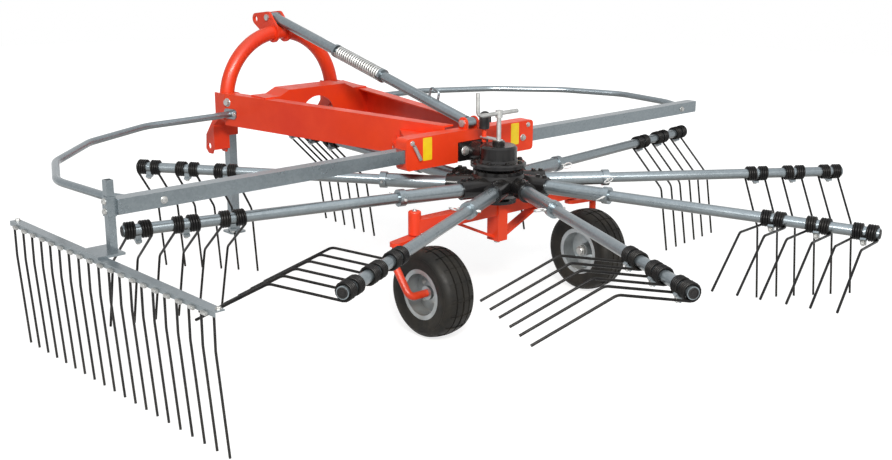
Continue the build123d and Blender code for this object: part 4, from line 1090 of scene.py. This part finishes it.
frame_places = []
for side, _ in SIDES:
    for y, z, inset, sense, size in BEAM_BOLTS:
        spot, away = beam_face(side, y, z, inset)
        frame_places.append(facing(ROTOR + spot, away * sense, size))
    for (x, y, z), way, size in PAIRED_BOLTS:
        frame_places.append(facing(ROTOR + Vector((side * x, y, z)), way, size))
for spot, way, size in LONE_BOLTS:
    frame_places.append(facing(ROTOR + Vector(spot), way, size))
put_bolts("frame_bolts", frame_places, "frame")

# %% [markdown]
# ## Clips of the swath curtain
# The curtain's tines hang from a folded bar. Between every two of them a bright pressed clip holds the bar's lip, and a
# bolt closes each end of the bar. One clip is a block with its outer face inset and drawn out to a pad, and with its
# rims bevelled.

# %% one clip
CLIP_LONG, CLIP_DEEP, CLIP_HIGH = 0.026, 0.007, 0.011
PAD_INSET, PAD_RISE, PAD_EDGE = 0.0022, 0.002, 0.0006
deselect()
bpy.ops.mesh.primitive_cube_add(size=1.0, scale=(CLIP_DEEP, CLIP_LONG, CLIP_HIGH))
clip = begin("curtain_clip", "zinc")
edit(clip)
pick_faces(clip, lambda middle, normal: normal.x < -0.9)
bpy.ops.mesh.inset(thickness=PAD_INSET)
draw_out((-PAD_RISE, 0, 0))
bpy.ops.mesh.bevel(offset=PAD_EDGE, segments=1)
finish_shape(clip, 30)
print("clip", len(clip.data.polygons), "faces")

# %% clips along the bar
BAR_X, BAR_LIP_Z = -1.600, 0.456
FIRST_TINE, TINE_STEP, TINE_COUNT = -0.520, 0.06526, 20
clip_places = [
    Matrix.Translation(ROTOR + Vector((BAR_X - CLIP_DEEP / 2, FIRST_TINE + TINE_STEP * (gap + 0.5), BAR_LIP_Z)))
    for gap in range(TINE_COUNT - 1)
]
hand_over(stamp(clip, "curtain_clips", clip_places), "curtain", "zinc")
discard(clip)
print(len(clip_places), "clips")

# %% [markdown]
# The bar's end bolts move with the curtain. The two bolts on the collar, which hold its post at a height, stay on the
# arm that slides.

# %% bolts of the bar and its collar
BAR_BOLT_X, BAR_BOLT_Z, BAR_ENDS = -1.578, 0.470, (-0.522, 0.722)
COLLAR_X, COLLAR_Y, COLLAR_BOLT_Z = -1.5355, 0.175, (0.600, 0.632)
BAR_BOLT_SIZE, COLLAR_BOLT_SIZE = 0.8, 0.9
bar_places = [facing(ROTOR + Vector((BAR_BOLT_X, y, BAR_BOLT_Z)), UP, BAR_BOLT_SIZE) for y in BAR_ENDS]
put_bolts("curtain_bar_bolts", bar_places, "curtain")
collar_places = [
    facing(ROTOR + Vector((COLLAR_X, COLLAR_Y, z)), (-1, 0, 0), COLLAR_BOLT_SIZE) for z in COLLAR_BOLT_Z
]
put_bolts("curtain_collar_bolts", collar_places, "curtain_slide")
discard(bolt)

# %% [markdown]
# ## Drive shaft
# The tractor's drive shaft is pushed on a stub with six splines. The stub starts as a cylinder of 36 strips, of which
# three out of every six are sunk to make the grooves. Its end is bevelled, and behind the splines it is drawn back into
# the gearbox with a smaller neck.

# %% splined stub
SPLINE_R, SPLINE_FROM, SPLINE_TO = 0.0174, 0.268, 0.345
SPLINE_STRIPS, SPLINE_PERIOD, SPLINE_GROOVE = 36, 6, 3
SPLINE_DEPTH, SPLINE_EDGE = 0.0026, 0.002
NECK_R, NECK_LONG = 0.016, 0.006
DRIVE_Z = 0.594
spline_long = SPLINE_TO - SPLINE_FROM


def in_groove(middle, normal):
    """Whether a face on the stub's side lies in a strip that is sunk."""
    strip = int(math.degrees(math.atan2(middle.y, middle.x)) % 360 / (360 / SPLINE_STRIPS))
    return abs(normal.z) < 0.1 and strip % SPLINE_PERIOD < SPLINE_GROOVE


deselect()
bpy.ops.mesh.primitive_cylinder_add(vertices=SPLINE_STRIPS, radius=SPLINE_R, depth=spline_long,
                                    location=(0, 0, spline_long / 2))
stub = begin("splined_stub", "zinc")
edit(stub)
pick_faces(stub, lambda middle, normal: normal.z > 0.9)
bpy.ops.mesh.bevel(offset=SPLINE_EDGE, segments=2)
pick_faces(stub, in_groove)
sink(-SPLINE_DEPTH)
pick_faces(stub, lambda middle, normal: normal.z < -0.9 and abs(middle.z) < 0.001 and middle.xy.length < 0.001)
bpy.ops.mesh.inset(thickness=SPLINE_R - NECK_R)
draw_out(-UP * NECK_LONG)
finish_shape(stub, 30)
stub.data.transform(facing(ROTOR + Vector((0, SPLINE_FROM, DRIVE_Z)), (0, 1, 0)))
hand_over(stub, "pto", "zinc", "pto_shaft")
print("stub", len(stub.data.polygons), "faces")

# %% [markdown]
# ## Lock of the height crank
# A flat bar ties the crank's foot to the adjuster in front of it, so that the crank can't turn by itself. Its ends are
# rounded by a wide bevel on the upright corners, which is less work than drawing the round ends point by point.

# %% lock bar
LOCK_W, LOCK_LONG, LOCK_T = 0.030, 0.112, 0.005
LOCK_Y, LOCK_Z = 0.040, 0.6585
LOCK_ROUND, LOCK_EDGE = 0.013, 0.0008


def pick_edges(piece, axis):
    """Selects the edges that run along an axis."""
    bpy.ops.mesh.select_mode(type="EDGE")
    bpy.ops.mesh.select_all(action="DESELECT")
    shape = bmesh.from_edit_mesh(piece.data)
    for line in shape.edges:
        way = (line.verts[0].co - line.verts[1].co).normalized()
        line.select_set(abs(way.dot(axis)) > 0.9)
    bmesh.update_edit_mesh(piece.data)


deselect()
bpy.ops.mesh.primitive_cube_add(size=1.0, location=ROTOR + Vector((0, LOCK_Y, LOCK_Z)),
                                scale=(LOCK_W, LOCK_LONG, LOCK_T))
lock_bar = begin("crank_lock_bar", "zinc")
edit(lock_bar)
pick_edges(lock_bar, UP)
bpy.ops.mesh.bevel(offset=LOCK_ROUND, segments=6)
pick_faces(lock_bar, lambda middle, normal: abs(normal.z) > 0.9)
bpy.ops.mesh.bevel(offset=LOCK_EDGE, segments=1)
finish_shape(lock_bar, 30)
hand_over(lock_bar, "frame", "zinc")
print("lock bar", len(lock_bar.data.polygons), "faces")

# %% [markdown]
# ## Yellow patches
# Two upright yellow films mark the cross head's rear face, where they are seen from behind. A colour mask on the paint
# would do for a picture. As thin pieces with rounded corners they have rims of their own, which catch light.

# %% yellow patches
PATCH_W, PATCH_H, PATCH_T = 0.045, 0.088, 0.0006
PATCH_X, PATCH_Z, PATCH_ROUND = 0.235, 0.632, 0.004
HEAD_REAR = 0.145
for side, name in SIDES:
    middle = ROTOR + Vector((side * PATCH_X, HEAD_REAR - PATCH_T / 2, PATCH_Z))
    deselect()
    bpy.ops.mesh.primitive_cube_add(size=1.0, location=middle, scale=(PATCH_W, PATCH_T, PATCH_H))
    patch = begin(f"sticker_patch_{name}", "yellow_film")
    edit(patch)
    pick_edges(patch, AHEAD)
    bpy.ops.mesh.bevel(offset=PATCH_ROUND, segments=4)
    finish_shape(patch, 30)
    hand_over(patch, "frame", "red_paint")
print("two patches")
